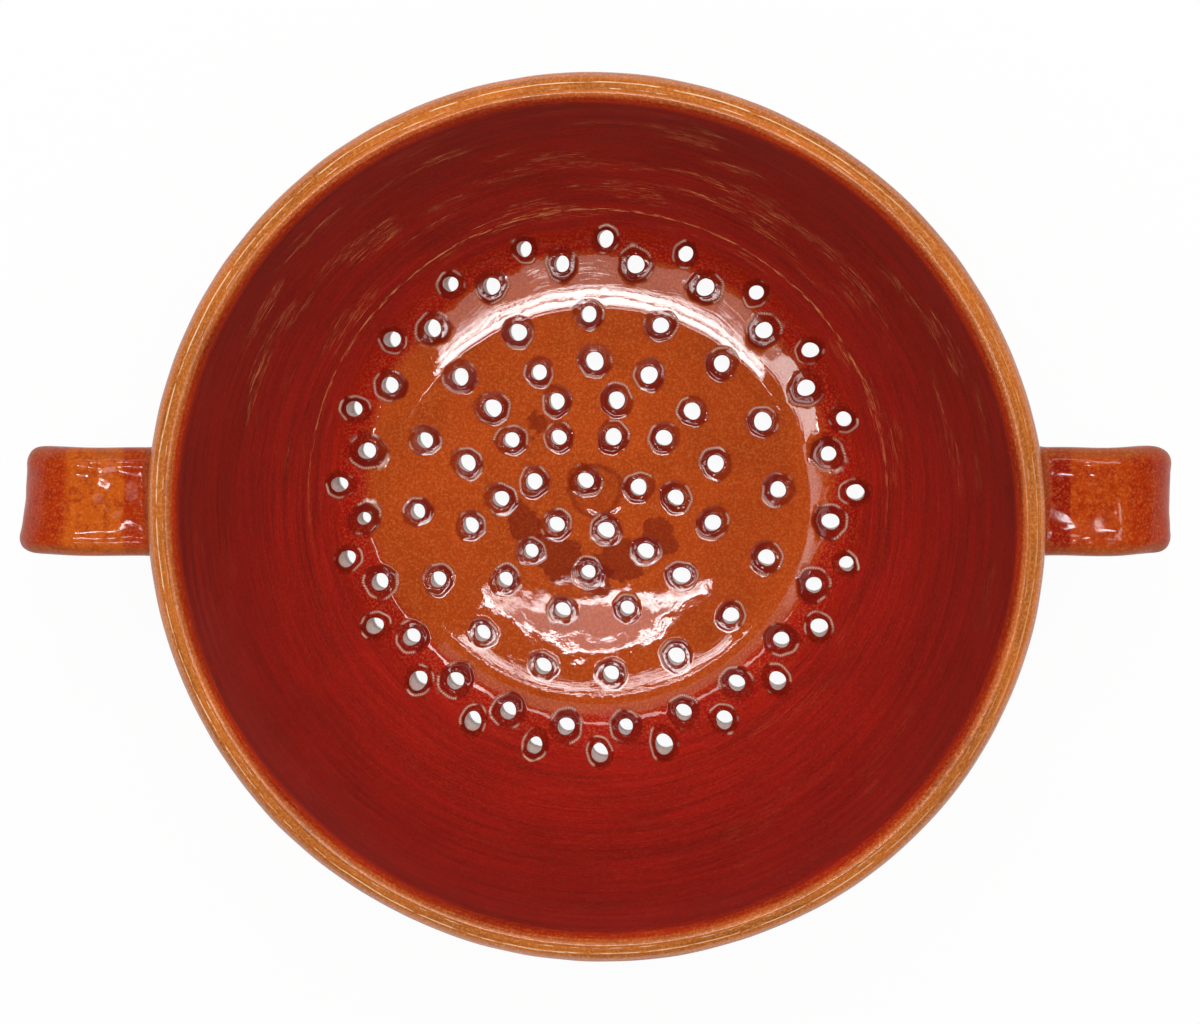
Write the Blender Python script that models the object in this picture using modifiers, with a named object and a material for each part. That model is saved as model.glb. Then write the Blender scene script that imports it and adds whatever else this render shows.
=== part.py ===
"""Couscous steamer bowl in glazed terracotta: a deep round bowl with a sieve for a floor and two ear handles.

Metres, +Z up. The origin is the middle of the face that the bowl stands on, and the handles lie along X.
"""

import math

import bmesh
import bpy
from mathutils import Matrix, Vector

# Gap between pieces of clay that touch
SEAM = 0.0003

# Bowl: outside of the rim, overall height, and thickness of the clay
RIM_RADIUS = 0.140
HEIGHT = 0.130
WALL = 0.0075
FLOOR_THICKNESS = 0.009

# Inside: level floor, then a rounded corner that hands over to the side at this slope, in degrees
FLAT_FLOOR_RADIUS = 0.080
CORNER_RADIUS = 0.022
CORNER_SLOPE = 58.0

# The floor is a tapered disc that drops into a seat in the wall, this far inside the corner
SEAT_LIP = 0.0015
SEAT_TAPER = 0.003

# Rolled rim: how far it stands out past the wall, the depth of its bevelled seam inside and outside,
# and the depth of its rounding on the inner and the outer edge
ROLL_OVERHANG = 0.0025
ROLL_INSIDE = 0.010
ROLL_OUTSIDE = 0.014
INNER_ROUNDING = 0.005
OUTER_ROUNDING = 0.006
CREST_INSET = 0.003

# Holes, punched by hand from above with a stick whose top leans this many degrees towards +X and +Y
HOLE_DIAMETER = 0.0065
STICK_LEAN_X = -7.0
STICK_LEAN_Y = -3.0
RING_MARGIN = 0.0107

# How far the middle of the pattern drifted, as a share of the last ring's radius
CENTRE_DRIFT_X = -0.067
CENTRE_DRIFT_Y = 0.079

# Rings on the level floor: share of the last ring's radius, holes, first bearing, sway and where the sway starts.
# Bearings are in degrees, anticlockwise from +X seen from above.
FLOOR_RINGS = (
    (0.29, 6, 57.0, 5.0, 25.0),
    (0.49, 9, 30.5, 1.0, 80.0),
    (0.70, 13, 7.0, 4.5, 118.0),
    (1.00, 16, 3.5, 2.0, -113.0),
)

# Rings in the corner: slope of the clay in degrees, then as above
CORNER_RINGS = (
    (26.5, 22, 16.0, 6.0, -73.0),
    (54.5, 22, 7.5, 6.5, -92.0),
)

# Ear handles: a strap that leaves the wall level, turns through an elbow and comes back to it
HANDLE_REACH = 0.190
HANDLE_OFFSET = 0.005
STRAP_WIDTH = 0.035
STRAP_THICKNESS = 0.009
STRAP_ROUNDING = 0.004
STRAP_DROP = 0.0205
ELBOW_RADIUS = 0.020
ELBOW_TURN = 160.0

# Lutes: how far the soft clay stands out past the strap, and out from the wall
LUTE_SIDE = 0.0065
LUTE_TOP = 0.0055
LUTE_STANDOUT = 0.010

# Facets of round shapes
TURNED_FACETS = 72
CORNER_STEPS = 4
SIDE_STEPS = 5
ROUNDING_STEPS = 3
HOLE_FACETS = 10
ELBOW_STEPS = 10

# Worked out from the sizes above
INNER_RIM_RADIUS = RIM_RADIUS - ROLL_OVERHANG - WALL
STRAP_LEVEL = HEIGHT - STRAP_DROP
CLAY = (0.42, 0.09, 0.03, 1.0)
OCHRE = (0.55, 0.20, 0.05, 1.0)


def clear_scene():
    for old in list(bpy.data.objects):
        bpy.data.objects.remove(old)


def new_collection(name):
    made = bpy.data.collections.new(name)
    bpy.context.scene.collection.children.link(made)
    return made


def glaze(name, colour):
    """A Principled material for one piece."""
    made = bpy.data.materials.new(name)
    made.use_nodes = True
    shader = made.node_tree.nodes["Principled BSDF"]
    shader.inputs["Base Color"].default_value = colour
    shader.inputs["Roughness"].default_value = 0.18
    shader.inputs["Metallic"].default_value = 0.0
    return made


def add_object(name, mesh, collection, colour=CLAY):
    made = bpy.data.objects.new(name, mesh)
    collection.objects.link(made)
    mesh.materials.append(glaze(name + "_glaze", colour))
    return made


def as_cutter(cutter):
    """Marks an object as a helper that isn't part of the bowl."""
    cutter.hide_render = True
    cutter.display_type = "WIRE"
    return cutter


def cut(target, cutter):
    boolean = target.modifiers.new("cut_by_" + cutter.name, "BOOLEAN")
    boolean.operation = "DIFFERENCE"
    boolean.solver = "EXACT"
    boolean.object = cutter


def turned(name, profile, collection, colour=CLAY, closed=True):
    """A shape turned about Z from (radius, height) points that run down its outer side."""
    shape = bmesh.new()
    points = [shape.verts.new((radius, 0.0, height)) for radius, height in profile]
    for start, end in zip(points, points[1:]):
        shape.edges.new((start, end))
    if closed:
        shape.edges.new((points[-1], points[0]))
    mesh = bpy.data.meshes.new(name)
    shape.to_mesh(mesh)
    shape.free()
    made = add_object(name, mesh, collection, colour)
    screw = made.modifiers.new("turn", "SCREW")
    screw.axis = "Z"
    screw.angle = math.tau
    screw.steps = TURNED_FACETS
    screw.render_steps = TURNED_FACETS
    screw.use_merge_vertices = True
    screw.merge_threshold = 0.00001
    return made


def arc(centre, radius, start, end, steps):
    """Points at slopes from start to end, in radians, on an arc that curves up and outwards."""
    slopes = [start + (end - start) * step / steps for step in range(steps + 1)]
    return [
        (centre[0] + radius(slope) * math.sin(slope), centre[1] - radius(slope) * math.cos(slope))
        for slope in slopes
    ]


def clay_thickness(slope):
    """Thickness across the corner, which eases from the floor's to the wall's."""
    share = min(slope / math.radians(CORNER_SLOPE), 1.0)
    return FLOOR_THICKNESS + (WALL - FLOOR_THICKNESS) * share


def corner_centre():
    return (FLAT_FLOOR_RADIUS, FLOOR_THICKNESS + CORNER_RADIUS)


def corner_point(slope):
    """Point on the inside of the corner, as (radius, height)."""
    return arc(corner_centre(), lambda _: CORNER_RADIUS, slope, slope, 1)[0]


def side_arc():
    """Centre, radius, first and last slope of the arc from the corner up to the rim's seam."""
    first = math.radians(CORNER_SLOPE)
    foot = corner_point(first)
    rise = HEIGHT - ROLL_INSIDE - foot[1]
    run = INNER_RIM_RADIUS - foot[0]
    last = 2.0 * math.atan2(rise, run) - first
    radius = math.hypot(run, rise) / (2.0 * math.sin((last - first) / 2.0))
    centre = (foot[0] - radius * math.sin(first), foot[1] + radius * math.cos(first))
    return centre, radius, first, last


def inner_side():
    """Inside of the wall, from the level floor up to the rim's seam."""
    centre, radius, first, last = side_arc()
    corner = arc(corner_centre(), lambda _: CORNER_RADIUS, 0.0, first, CORNER_STEPS)
    side = arc(centre, lambda _: radius, first, last, SIDE_STEPS)
    return corner + side[1:]


def outer_side(clearance=0.0):
    """Outside of the wall, from the level base up to the rim's seam, or a shape this far outside it."""
    centre, radius, first, _ = side_arc()
    corner = arc(
        corner_centre(),
        lambda slope: CORNER_RADIUS + clay_thickness(slope) + clearance,
        0.0,
        first,
        CORNER_STEPS,
    )
    outside = radius + WALL + clearance
    top = math.acos((centre[1] - (HEIGHT - ROLL_OUTSIDE)) / outside)
    return corner + arc(centre, lambda _: outside, first, top, SIDE_STEPS)[1:]


def quarter(centre, width, depth, start, end):
    """Points on a quarter of an ellipse, from start to end degrees, anticlockwise from outwards."""
    bearings = [
        math.radians(start + (end - start) * step / ROUNDING_STEPS) for step in range(ROUNDING_STEPS + 1)
    ]
    return [
        (centre[0] + width * math.cos(bearing), centre[1] + depth * math.sin(bearing))
        for bearing in bearings
    ]


def roll_outside(clearance=0.0):
    """The rolled rim's outer face, from its crest down to its seam, or a shape this far outside it."""
    crest = INNER_RIM_RADIUS + CREST_INSET
    widest = HEIGHT - OUTER_ROUNDING
    under = RIM_RADIUS - ROLL_OVERHANG
    top = quarter((crest, widest), RIM_RADIUS - crest + clearance, OUTER_ROUNDING + clearance, 90.0, 0.0)
    bottom = quarter(
        (under, widest),
        ROLL_OVERHANG + clearance,
        ROLL_OUTSIDE - OUTER_ROUNDING + clearance,
        0.0,
        -90.0,
    )
    return top + bottom[1:-1]


def outer_radius(height):
    """Radius of the wall's outside at a height."""
    profile = outer_side()
    for low, high in zip(profile, profile[1:]):
        if low[1] <= height <= high[1]:
            share = (height - low[1]) / (high[1] - low[1])
            return low[0] + (high[0] - low[0]) * share
    raise ValueError("the handle meets the bowl above or below its wall")


def build_floor(collection):
    """Tapered disc that the bowl stands on."""
    top = FLAT_FLOOR_RADIUS - SEAT_LIP - SEAM
    bpy.ops.mesh.primitive_cone_add(
        vertices=TURNED_FACETS,
        radius1=top - SEAT_TAPER,
        radius2=top,
        depth=FLOOR_THICKNESS,
        location=(0.0, 0.0, FLOOR_THICKNESS / 2.0),
    )
    made = bpy.context.object
    made.name = "sieve_floor"
    for other in list(made.users_collection):
        other.objects.unlink(made)
    collection.objects.link(made)
    made.data.materials.append(glaze("sieve_floor_glaze", CLAY))
    return made


def build_wall(collection):
    seat = FLAT_FLOOR_RADIUS - SEAT_LIP
    outside = list(reversed(outer_side()))
    profile = outside + [(seat - SEAT_TAPER, 0.0), (seat, FLOOR_THICKNESS)] + inner_side()
    return turned("bowl_wall", profile, collection)


def build_rim(collection):
    crest = (INNER_RIM_RADIUS + CREST_INSET, HEIGHT - INNER_ROUNDING)
    seam_outside = outer_side()[-1]
    seam_inside = inner_side()[-1]
    rise = SEAM * math.hypot(1.0, (seam_inside[1] - seam_outside[1]) / WALL)
    inside = quarter(crest, CREST_INSET, INNER_ROUNDING, 180.0, 90.0)
    profile = roll_outside()
    profile.append((seam_outside[0], seam_outside[1] + rise))
    profile.append((seam_inside[0], seam_inside[1] + rise))
    return turned("rim_roll", profile + inside[:-1], collection, OCHRE)


def bowl_clearance(collection):
    """Solid a seam's width larger than the bowl, to which handles and lutes are trimmed."""
    roll = roll_outside(SEAM)
    side = list(reversed(outer_side(SEAM)))
    profile = [(0.0, roll[0][1])] + roll + side + [(0.0, side[-1][1])]
    return as_cutter(turned("bowl_clearance", profile, collection, closed=False))


def ring_bearings(count, first, sway, sway_start):
    """Bearings of a ring of holes in radians, spaced by eye and so a little uneven."""
    even = [360.0 * hole / count for hole in range(count)]
    return [
        math.radians(first + turn + sway * math.sin(math.radians(turn + sway_start))) for turn in even
    ]


def floor_holes():
    """Middles of the holes where they enter the level floor."""
    last = FLAT_FLOOR_RADIUS - RING_MARGIN
    drift = Vector((CENTRE_DRIFT_X, CENTRE_DRIFT_Y, 0.0)) * last
    level = Vector((0.0, 0.0, FLOOR_THICKNESS))
    places = [drift + level]
    for share, count, first, sway, sway_start in FLOOR_RINGS:
        middle = drift * (1.0 - share**2) + level
        for bearing in ring_bearings(count, first, sway, sway_start):
            around = Vector((math.cos(bearing), math.sin(bearing), 0.0)) * last * share
            places.append(middle + around)
    return places


def corner_holes():
    """Middles of the holes where they enter the corner."""
    places = []
    for slope, count, first, sway, sway_start in CORNER_RINGS:
        radius, height = corner_point(math.radians(slope))
        for bearing in ring_bearings(count, first, sway, sway_start):
            places.append(Vector((radius * math.cos(bearing), radius * math.sin(bearing), height)))
    return places


def punch(name, places, collection):
    """Round punches through these places, all leaning as the stick was held."""
    stick = Vector((math.tan(math.radians(STICK_LEAN_X)), math.tan(math.radians(STICK_LEAN_Y)), 1.0))
    lean = stick.to_track_quat("Z", "Y").to_matrix().to_4x4()
    shape = bmesh.new()
    for place in places:
        bmesh.ops.create_cone(
            shape,
            cap_ends=True,
            segments=HOLE_FACETS,
            radius1=HOLE_DIAMETER / 2.0,
            radius2=HOLE_DIAMETER / 2.0,
            depth=4.0 * (FLOOR_THICKNESS + WALL),
            matrix=Matrix.Translation(place) @ lean,
        )
    mesh = bpy.data.meshes.new(name)
    shape.to_mesh(mesh)
    shape.free()
    return as_cutter(add_object(name, mesh, collection))


def strap_line():
    """Middle line of a strap as (reach, height): out of the wall, round the elbow and back into the wall."""
    turn = math.radians(ELBOW_TURN)
    elbow = (HANDLE_REACH - STRAP_THICKNESS / 2.0 - ELBOW_RADIUS, STRAP_LEVEL - ELBOW_RADIUS)
    round_elbow = [
        (elbow[0] + ELBOW_RADIUS * math.sin(angle), elbow[1] + ELBOW_RADIUS * math.cos(angle))
        for angle in (turn * step / ELBOW_STEPS for step in range(ELBOW_STEPS + 1))
    ]
    inside = (FLAT_FLOOR_RADIUS, lower_run(FLAT_FLOOR_RADIUS))
    return [(FLAT_FLOOR_RADIUS, STRAP_LEVEL)] + round_elbow + [inside]


def lower_run(reach):
    """Height of the strap's lower run at a reach from the bowl's axis."""
    turn = math.radians(ELBOW_TURN)
    end_reach = HANDLE_REACH - STRAP_THICKNESS / 2.0 - ELBOW_RADIUS + ELBOW_RADIUS * math.sin(turn)
    end_height = STRAP_LEVEL - ELBOW_RADIUS + ELBOW_RADIUS * math.cos(turn)
    return end_height - (end_reach - reach) * math.tan(math.pi - turn)


def build_strap(name, collection, clearance=0.0):
    """A flat strip along the strap's line, thickened and rounded, or a shape this far outside it."""
    half = STRAP_WIDTH / 2.0 + clearance
    shape = bmesh.new()
    line = strap_line()
    rows = [[shape.verts.new((reach, side, height)) for side in (-half, half)] for reach, height in line]
    for near, far in zip(rows, rows[1:]):
        shape.faces.new((near[0], far[0], far[1], near[1]))
    mesh = bpy.data.meshes.new(name)
    shape.to_mesh(mesh)
    shape.free()
    made = add_object(name, mesh, collection, OCHRE)
    thicken = made.modifiers.new("thickness", "SOLIDIFY")
    thicken.thickness = STRAP_THICKNESS + 2.0 * clearance
    thicken.offset = 0.0
    thicken.use_even_offset = True
    rounding = made.modifiers.new("rounded_edges", "BEVEL")
    rounding.width = min(STRAP_ROUNDING, STRAP_THICKNESS * 0.45)
    rounding.segments = 2
    rounding.limit_method = "ANGLE"
    rounding.angle_limit = math.radians(60.0)
    return made


def build_lute(name, place, tall, collection):
    """Soft clay round a strap's root: a flat dome on the wall, at (reach, height)."""
    shape = bmesh.new()
    bmesh.ops.create_uvsphere(shape, u_segments=16, v_segments=10, radius=1.0)
    size = Matrix.Diagonal((LUTE_STANDOUT, STRAP_WIDTH / 2.0 + LUTE_SIDE, tall, 1.0))
    bmesh.ops.transform(
        shape,
        matrix=Matrix.Translation((place[0], 0.0, place[1])) @ size,
        verts=shape.verts,
    )
    mesh = bpy.data.meshes.new(name)
    shape.to_mesh(mesh)
    shape.free()
    mesh.shade_smooth()
    return add_object(name, mesh, collection, OCHRE)


def lower_root():
    """Where the strap's lower run meets the wall, as (reach, height), found by closing in on it."""
    reach = RIM_RADIUS
    for _ in range(30):
        reach = outer_radius(lower_run(reach))
    return reach, lower_run(reach)


def build_handle(side, frame, parts, cutters, bowl):
    """One ear: its strap, trimmed to the bowl, and the two lutes that hold it."""
    strap = build_strap(side + "_handle_strap", parts)
    passage = as_cutter(build_strap(side + "_strap_clearance", cutters, SEAM))
    low = lower_root()
    slant = math.cos(math.radians(180.0 - ELBOW_TURN))
    half = STRAP_THICKNESS / 2.0
    upper = build_lute(
        side + "_upper_lute", (outer_radius(STRAP_LEVEL), STRAP_LEVEL), half + LUTE_TOP, parts
    )
    lower = build_lute(side + "_lower_lute", low, half / slant + LUTE_TOP, parts)
    for piece in (strap, passage, upper, lower):
        piece.parent = frame
    cut(strap, bowl)
    for lute in (upper, lower):
        cut(lute, bowl)
        cut(lute, passage)


def main():
    clear_scene()
    parts = new_collection("couscous_bowl")
    cutters = new_collection("cutters")
    sieve = build_floor(parts)
    cut(sieve, punch("floor_punch", floor_holes(), cutters))
    wall = build_wall(parts)
    cut(wall, punch("corner_punch", corner_holes(), cutters))
    build_rim(parts)
    bowl = bowl_clearance(cutters)
    for side, turn in (("right", 0.0), ("left", math.pi)):
        frame = bpy.data.objects.new(side + "_handle_frame", None)
        frame.location = (0.0, HANDLE_OFFSET, 0.0)
        frame.rotation_euler = (0.0, 0.0, turn)
        parts.objects.link(frame)
        build_handle(side, frame, parts, cutters, bowl)


main()
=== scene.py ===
"""Looks of a glazed terracotta couscous bowl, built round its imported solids."""

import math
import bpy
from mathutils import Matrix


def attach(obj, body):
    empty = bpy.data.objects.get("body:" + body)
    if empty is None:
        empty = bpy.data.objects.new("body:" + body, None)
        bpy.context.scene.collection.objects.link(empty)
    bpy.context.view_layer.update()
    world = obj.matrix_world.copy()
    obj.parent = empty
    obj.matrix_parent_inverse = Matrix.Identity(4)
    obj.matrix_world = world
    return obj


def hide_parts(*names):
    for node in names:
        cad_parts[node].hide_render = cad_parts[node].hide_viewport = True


bl_info = {
    "name": "Glazed couscous bowl",
    "version": (1, 0, 0),
    "blender": (4, 5, 0),
    "location": "3D View > Sidebar > Couscous Bowl",
    "description": "Throws, punches, handles and glazes a terracotta couscous bowl",
    "category": "Object",
}

import bpy
import numpy as np
from bpy.props import FloatProperty, FloatVectorProperty, IntProperty, PointerProperty
from mathutils import Vector
from mathutils.geometry import delaunay_2d_cdt

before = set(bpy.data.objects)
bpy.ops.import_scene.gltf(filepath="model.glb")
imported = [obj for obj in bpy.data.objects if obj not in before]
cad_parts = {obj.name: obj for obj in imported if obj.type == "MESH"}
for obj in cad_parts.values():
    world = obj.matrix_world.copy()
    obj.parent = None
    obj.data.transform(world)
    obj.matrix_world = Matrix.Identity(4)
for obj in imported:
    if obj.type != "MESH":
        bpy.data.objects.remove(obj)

# Rings on the level floor: share of the last ring's radius, holes, first bearing, sway and where
# the sway starts, with bearings in degrees
FLOOR_RINGS = (
    (0.29, 6, 57.0, 5.0, 25.0),
    (0.49, 9, 30.5, 1.0, 80.0),
    (0.70, 13, 7.0, 4.5, 118.0),
    (1.00, 16, 3.5, 2.0, -113.0),
)

# Rings in the corner: slope of the clay in degrees, then as above
CORNER_RINGS = (
    (26.5, 22, 16.0, 6.0, -73.0),
    (54.5, 22, 7.5, 6.5, -92.0),
)

# Section of the rolled rim, as distance out from its inner edge and down from its crest, in metres
RIM_SECTION = (
    (0.0000, 0.0062),
    (0.0004, 0.0034),
    (0.0014, 0.0010),
    (0.0028, 0.0000),
    (0.0040, 0.0004),
    (0.0058, 0.0011),
    (0.0078, 0.0023),
    (0.0093, 0.0040),
    (0.0100, 0.0064),
    (0.0096, 0.0095),
    (0.0086, 0.0122),
)

# Each handle: its bearing, its tilt across the strap's end, and its lean across the strap's width
EARS = (("right", 0.0, 0.02, 0.010), ("left", 180.0, -0.11, -0.015))

# How far a strap's ends reach into the wall, in metres
ROOT_DEPTH = 0.0035

# Rows round a hole: turns over its lip in degrees, then distances past the lip in millimetres
LIP_TURNS = (0.0, 26.0, 50.0, 70.0, 90.0)
BEAD_ROWS = (0.3, 0.6, 0.9, 1.2, 1.5, 1.8, 2.1, 2.4, 2.7, 3.05, 3.4, 3.8)

# Rows down a hole: share of the way, and a pool value past 1 that marks them as matt bare clay
# painted near-white, which is painted light shining up through the hole
BORE_ROWS = ((0.2, 2.0), (0.45, 2.0), (0.7, 1.6), (0.9, 1.3))

# Distance from the middle of the floor to where the wall rises out of it, and how far the punched
# part goes past the corner, in metres
CREASE = 0.0890
SIEVE_PAST_CORNER = 0.0105

# How far from its middle a hole changes the clay, and how far points keep off the seat, in metres
HOLE_REACH = 0.016
SEAT_GAP = 0.0004

# Underside: distance between points, how much wider a ring goes round each exit, and how far points
# keep off the middle of a hole and off the seat, in metres
UNDER_GRAIN = 0.0030
EXIT_RING = 1.35
EXIT_CLEAR = 0.0062
UNDER_SEAT_GAP = 0.0012

# First seeds of the holes, of their insides and of the grooves of the rim, and seeds of the straps
HOLE_SEED = 700
BORE_SEED = 40
GROOVE_SEED = 500
EAR_SEEDS = {"right": 60, "left": 61}

# Grooves of the rim: distance past its inner seam and depth, in metres
RIM_GROOVES = ((0.0080, 0.00012), (0.0124, 0.00009), (0.0158, -0.00006), (0.0182, 0.00008))

# Painted highlights along the ridges of the rim: distance past its inner seam and width, in
# metres, and the noise level above which a line shows
PAINTED_RIM_GLINTS = ((0.0148, 0.00030, 0.44), (0.0126, 0.00022, 0.53))

# Upper and lower edge of the pane that is mirrored in the level floor, in metres on that floor
WINDOW_TOP = [(-0.044, -0.037), (-0.022, -0.039), (0.020, -0.0385), (0.043, -0.034)]
WINDOW_FOOT = [
    (-0.044, -0.037),
    (-0.026, -0.054),
    (-0.003, -0.0595),
    (0.022, -0.053),
    (0.043, -0.034),
]

# Panes that are mirrored in the far corner: inner and outer radius on the level floor, in metres,
# and brightness, between two bearings in degrees
WINDOW_BEARINGS = (-134.0, -48.0)
WINDOW_PANES = (
    (0.0755, 0.094, 13.0),
    (0.094, 0.112, 24.0),
    (0.112, 0.117, 4.0),
    (0.117, 0.130, 18.0),
    (0.135, 0.145, 12.0),
)

# Small bright cards mirrored in the handles: places, half width and depth in metres, and brightness
GLINT_X = (-0.185, 0.190)
GLINT_Y = (-0.075, 0.066)
GLINT_HALF = 0.011
GLINT_DEPTH = 0.009
GLINT = 75.0

# Floor of the stage: its size and how far it lies under the bowl, in metres
FLOOR_SIZE = 6.0
FLOOR_DROP = 0.0002

# Soft lamp: its size, place and brightness
SKY_SIZE = 1.2
SKY_PLACE = (0.0, 0.50, 1.7)
SKY_LIGHT = 4.2

# Dim ceiling that only the gloss shows: half its size on the floor, its height and its brightness
ROOM_HALF = 4.0
ROOM_HEIGHT = 2.4
ROOM_LIGHT = 0.08

# Dark patches in the glaze of the floor, and the ring round its boss: place and radius, in metres
FLOOR_PATCHES = (
    (-0.0152, -0.0240, 0.0090),
    (0.0078, -0.0256, 0.0090),
    (0.0010, -0.0325, 0.0066),
    (-0.0285, -0.0100, 0.0060),
    (0.0232, -0.0155, 0.0064),
    (-0.0225, 0.0262, 0.0036),
)
BOSS_RING = (-0.0007, 0.0019, 0.0096)


def length(name, description, default):
    return FloatProperty(
        name=name, description=description, default=default, precision=4, unit="LENGTH"
    )


def turn(name, description, degrees):
    return FloatProperty(
        name=name,
        description=description,
        default=math.radians(degrees),
        subtype="ANGLE",
        unit="ROTATION",
    )


def share(name, description, default):
    return FloatProperty(name=name, description=description, default=default, subtype="FACTOR")


def paint(name, description, red, green, blue):
    """A colour property from its eight-bit screen values."""
    screen = np.array((red, green, blue)) / 255.0
    linear = np.where(screen <= 0.04045, screen / 12.92, ((screen + 0.055) / 1.055) ** 2.4)
    return FloatVectorProperty(
        name=name,
        description=description,
        default=(*linear, 1.0),
        size=4,
        min=0.0,
        max=1.0,
        subtype="COLOR",
    )


class BowlSizes(bpy.types.PropertyGroup):
    """Sizes of the thrown bowl."""

    rim_radius: length("Rim radius", "Outside of the rolled rim", 0.140)
    height: length("Height", "From the base to the crest of the rim", 0.130)
    wall: length("Wall", "Thickness of the wall", 0.0075)
    floor: length("Floor", "Thickness of the floor", 0.009)
    flat: length("Level floor", "Radius of the level part of the floor", 0.080)
    corner: length("Corner", "Radius of the rounded corner inside", 0.022)
    corner_slope: turn("Corner slope", "Slope at which the corner hands over to the side", 58.0)
    seat_lip: length("Seat lip", "How far inside the corner the sieve floor ends", 0.00165)
    seat_taper: length("Seat taper", "How much smaller the sieve floor is underneath", 0.003)
    overhang: length("Overhang", "How far the rim stands out past the wall", 0.0025)
    roll_inside: length("Roll inside", "Depth of the rolled rim on the inside", 0.010)
    roll_outside: length("Roll outside", "Depth of the rolled rim on the outside", 0.014)
    out_of_round: share("Out of round", "How much longer the rim is along its long axis", 0.0098)
    long_axis: turn("Long axis", "Bearing of the long axis of the rim", 148.0)
    throwing_lines: length("Throwing lines", "Depth of the throwing lines on the outside", 0.00022)
    columns: IntProperty(name="Columns", description="Points round the bowl", default=480, min=48)


class SieveSizes(bpy.types.PropertyGroup):
    """Sizes of the punched holes and of the glaze beads round them."""

    radius: length("Hole radius", "Clear radius of a hole", 0.0031)
    lean_x: turn("Lean X", "Lean of the punching stick's top towards +X", -7.0)
    lean_y: turn("Lean Y", "Lean of the punching stick's top towards +Y", -3.0)
    breakout: share("Breakout", "How much wider a hole is where the stick came out", 0.25)
    margin: length("Ring margin", "From the last ring of the level floor to its edge", 0.0107)
    drift_x: share("Drift X", "Drift of the pattern's middle, in radii of the last ring", -0.067)
    drift_y: share("Drift Y", "Drift of the pattern's middle, in radii of the last ring", 0.079)
    lip: length("Lip", "Rounding of a hole's edge", 0.0004)
    bead: length("Bead", "Height of the clay and glaze heaped round a hole", 0.00036)
    bead_width: length("Bead width", "From the edge of a hole to the foot of its bead", 0.0031)
    bead_edge: length("Bead edge", "Width of the steep edge of a bead", 0.0010)
    burr: length("Burr", "Height of the torn clay at the edge of a hole", 0.00020)
    spokes: IntProperty(name="Spokes", description="Points round a hole", default=48, min=8)
    grain: length("Grain", "Distance between the points of the floor", 0.0013)


class HandleSizes(bpy.types.PropertyGroup):
    """Sizes of the two ear handles."""

    reach: length("Reach", "From the bowl's axis to the end of a handle", 0.190)
    offset: length("Offset", "How far the handles sit off the middle, towards +Y", 0.005)
    width: length("Width", "Width of the strap", 0.035)
    thickness: length("Thickness", "Thickness of the strap", 0.009)
    drop: length("Drop", "From the crest of the rim to the strap's middle", 0.0205)
    elbow: length("Elbow", "Radius of the strap's bend", 0.020)
    elbow_turn: turn("Elbow turn", "Angle through which the strap bends", 160.0)
    flare: length("Flare", "Size of the smeared clay at a handle's roots", 0.0085)
    rounding: length("Rounding", "Rounding of the strap's edges", 0.0043)
    dish: length("Dish", "How much the strap is hollowed along its middle", 0.0006)
    taper: share("Taper", "How much narrower the strap is where it comes back to the wall", 0.20)


class GlazeColours(bpy.types.PropertyGroup):
    """Colours of the glaze and of the bare clay."""

    floor: paint("Floor", "Glaze on the floor", 184, 72, 16)
    # Dark glaze for the pools round the holes, which also carry painted shade on the beads' heaped
    # side, and for the dark patches and the darker right half of the floor.
    floor_pool_and_shade: paint("Floor pools", "Glaze where it gathers round the holes", 114, 18, 10)
    wall_low: paint("Wall, low", "Glaze where the wall leaves the floor", 174, 22, 10)
    # Darker than the low wall: partly deeper glaze and partly painted shade of the steep upper
    # wall.
    wall_high: paint("Wall, high", "Glaze under the rim", 152, 6, 10)
    wall_edge: paint("Rim edge", "Glaze on the inner edge of the rim", 176, 44, 12)
    rim: paint("Rim", "Worn glaze on the crest of the rim", 182, 96, 26)
    # Painted highlight: the pale broken lines along the ridges of the rim.
    ridge: paint("Rim ridge", "Clay where the glaze is rubbed off the rim", 252, 222, 184)
    rim_outside: paint("Rim, outside", "Glaze on the outer edge of the rim", 170, 88, 34)
    # Pale streaks and one pale ring on the wall, painted nearly all on the far side.
    pale_streak: paint("Scrapes", "Clay slip that shows through on the wall", 238, 160, 96)
    handle: paint("Handle", "Glaze on the handles", 190, 84, 18)
    # The bend colour also paints a band of shade near the roots, where the strap runs under the
    # rim; the dark colour serves both the mottle and a deeper band of painted shade on the right
    # handle.
    handle_bend_and_shade: paint("Handle ends", "Glaze on the bend of the handles", 164, 46, 8)
    handle_mottle_and_shade: paint("Handle bands", "Glaze where it gathers on the handles", 136, 16, 8)
    handle_root: paint("Handle roots", "Glaze where the handles join the wall", 150, 62, 34)
    handle_edge: paint("Handle edges", "Worn glaze along the edges of the handles", 152, 76, 36)
    speck: paint("Specks", "Grains of sand that show through the glaze", 214, 140, 70)
    # Painted highlight: pale lines along the edges of the beads round the holes, not a colour of
    # the glaze.
    painted_glint: paint("Bead edges", "Thin glaze along the edge of a bead", 255, 222, 196)
    # Painted light: the near-white inside the holes stands in for the light that shines up through
    # them, not for the clay's own colour.
    lit_bore_paint: paint("Bores", "Bare clay inside the holes", 254, 240, 232)
    outside: paint("Outside", "Glaze on the outside of the wall", 164, 62, 28)
    clay: paint("Bare clay", "Unglazed clay at the foot and underneath", 190, 120, 84)


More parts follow.
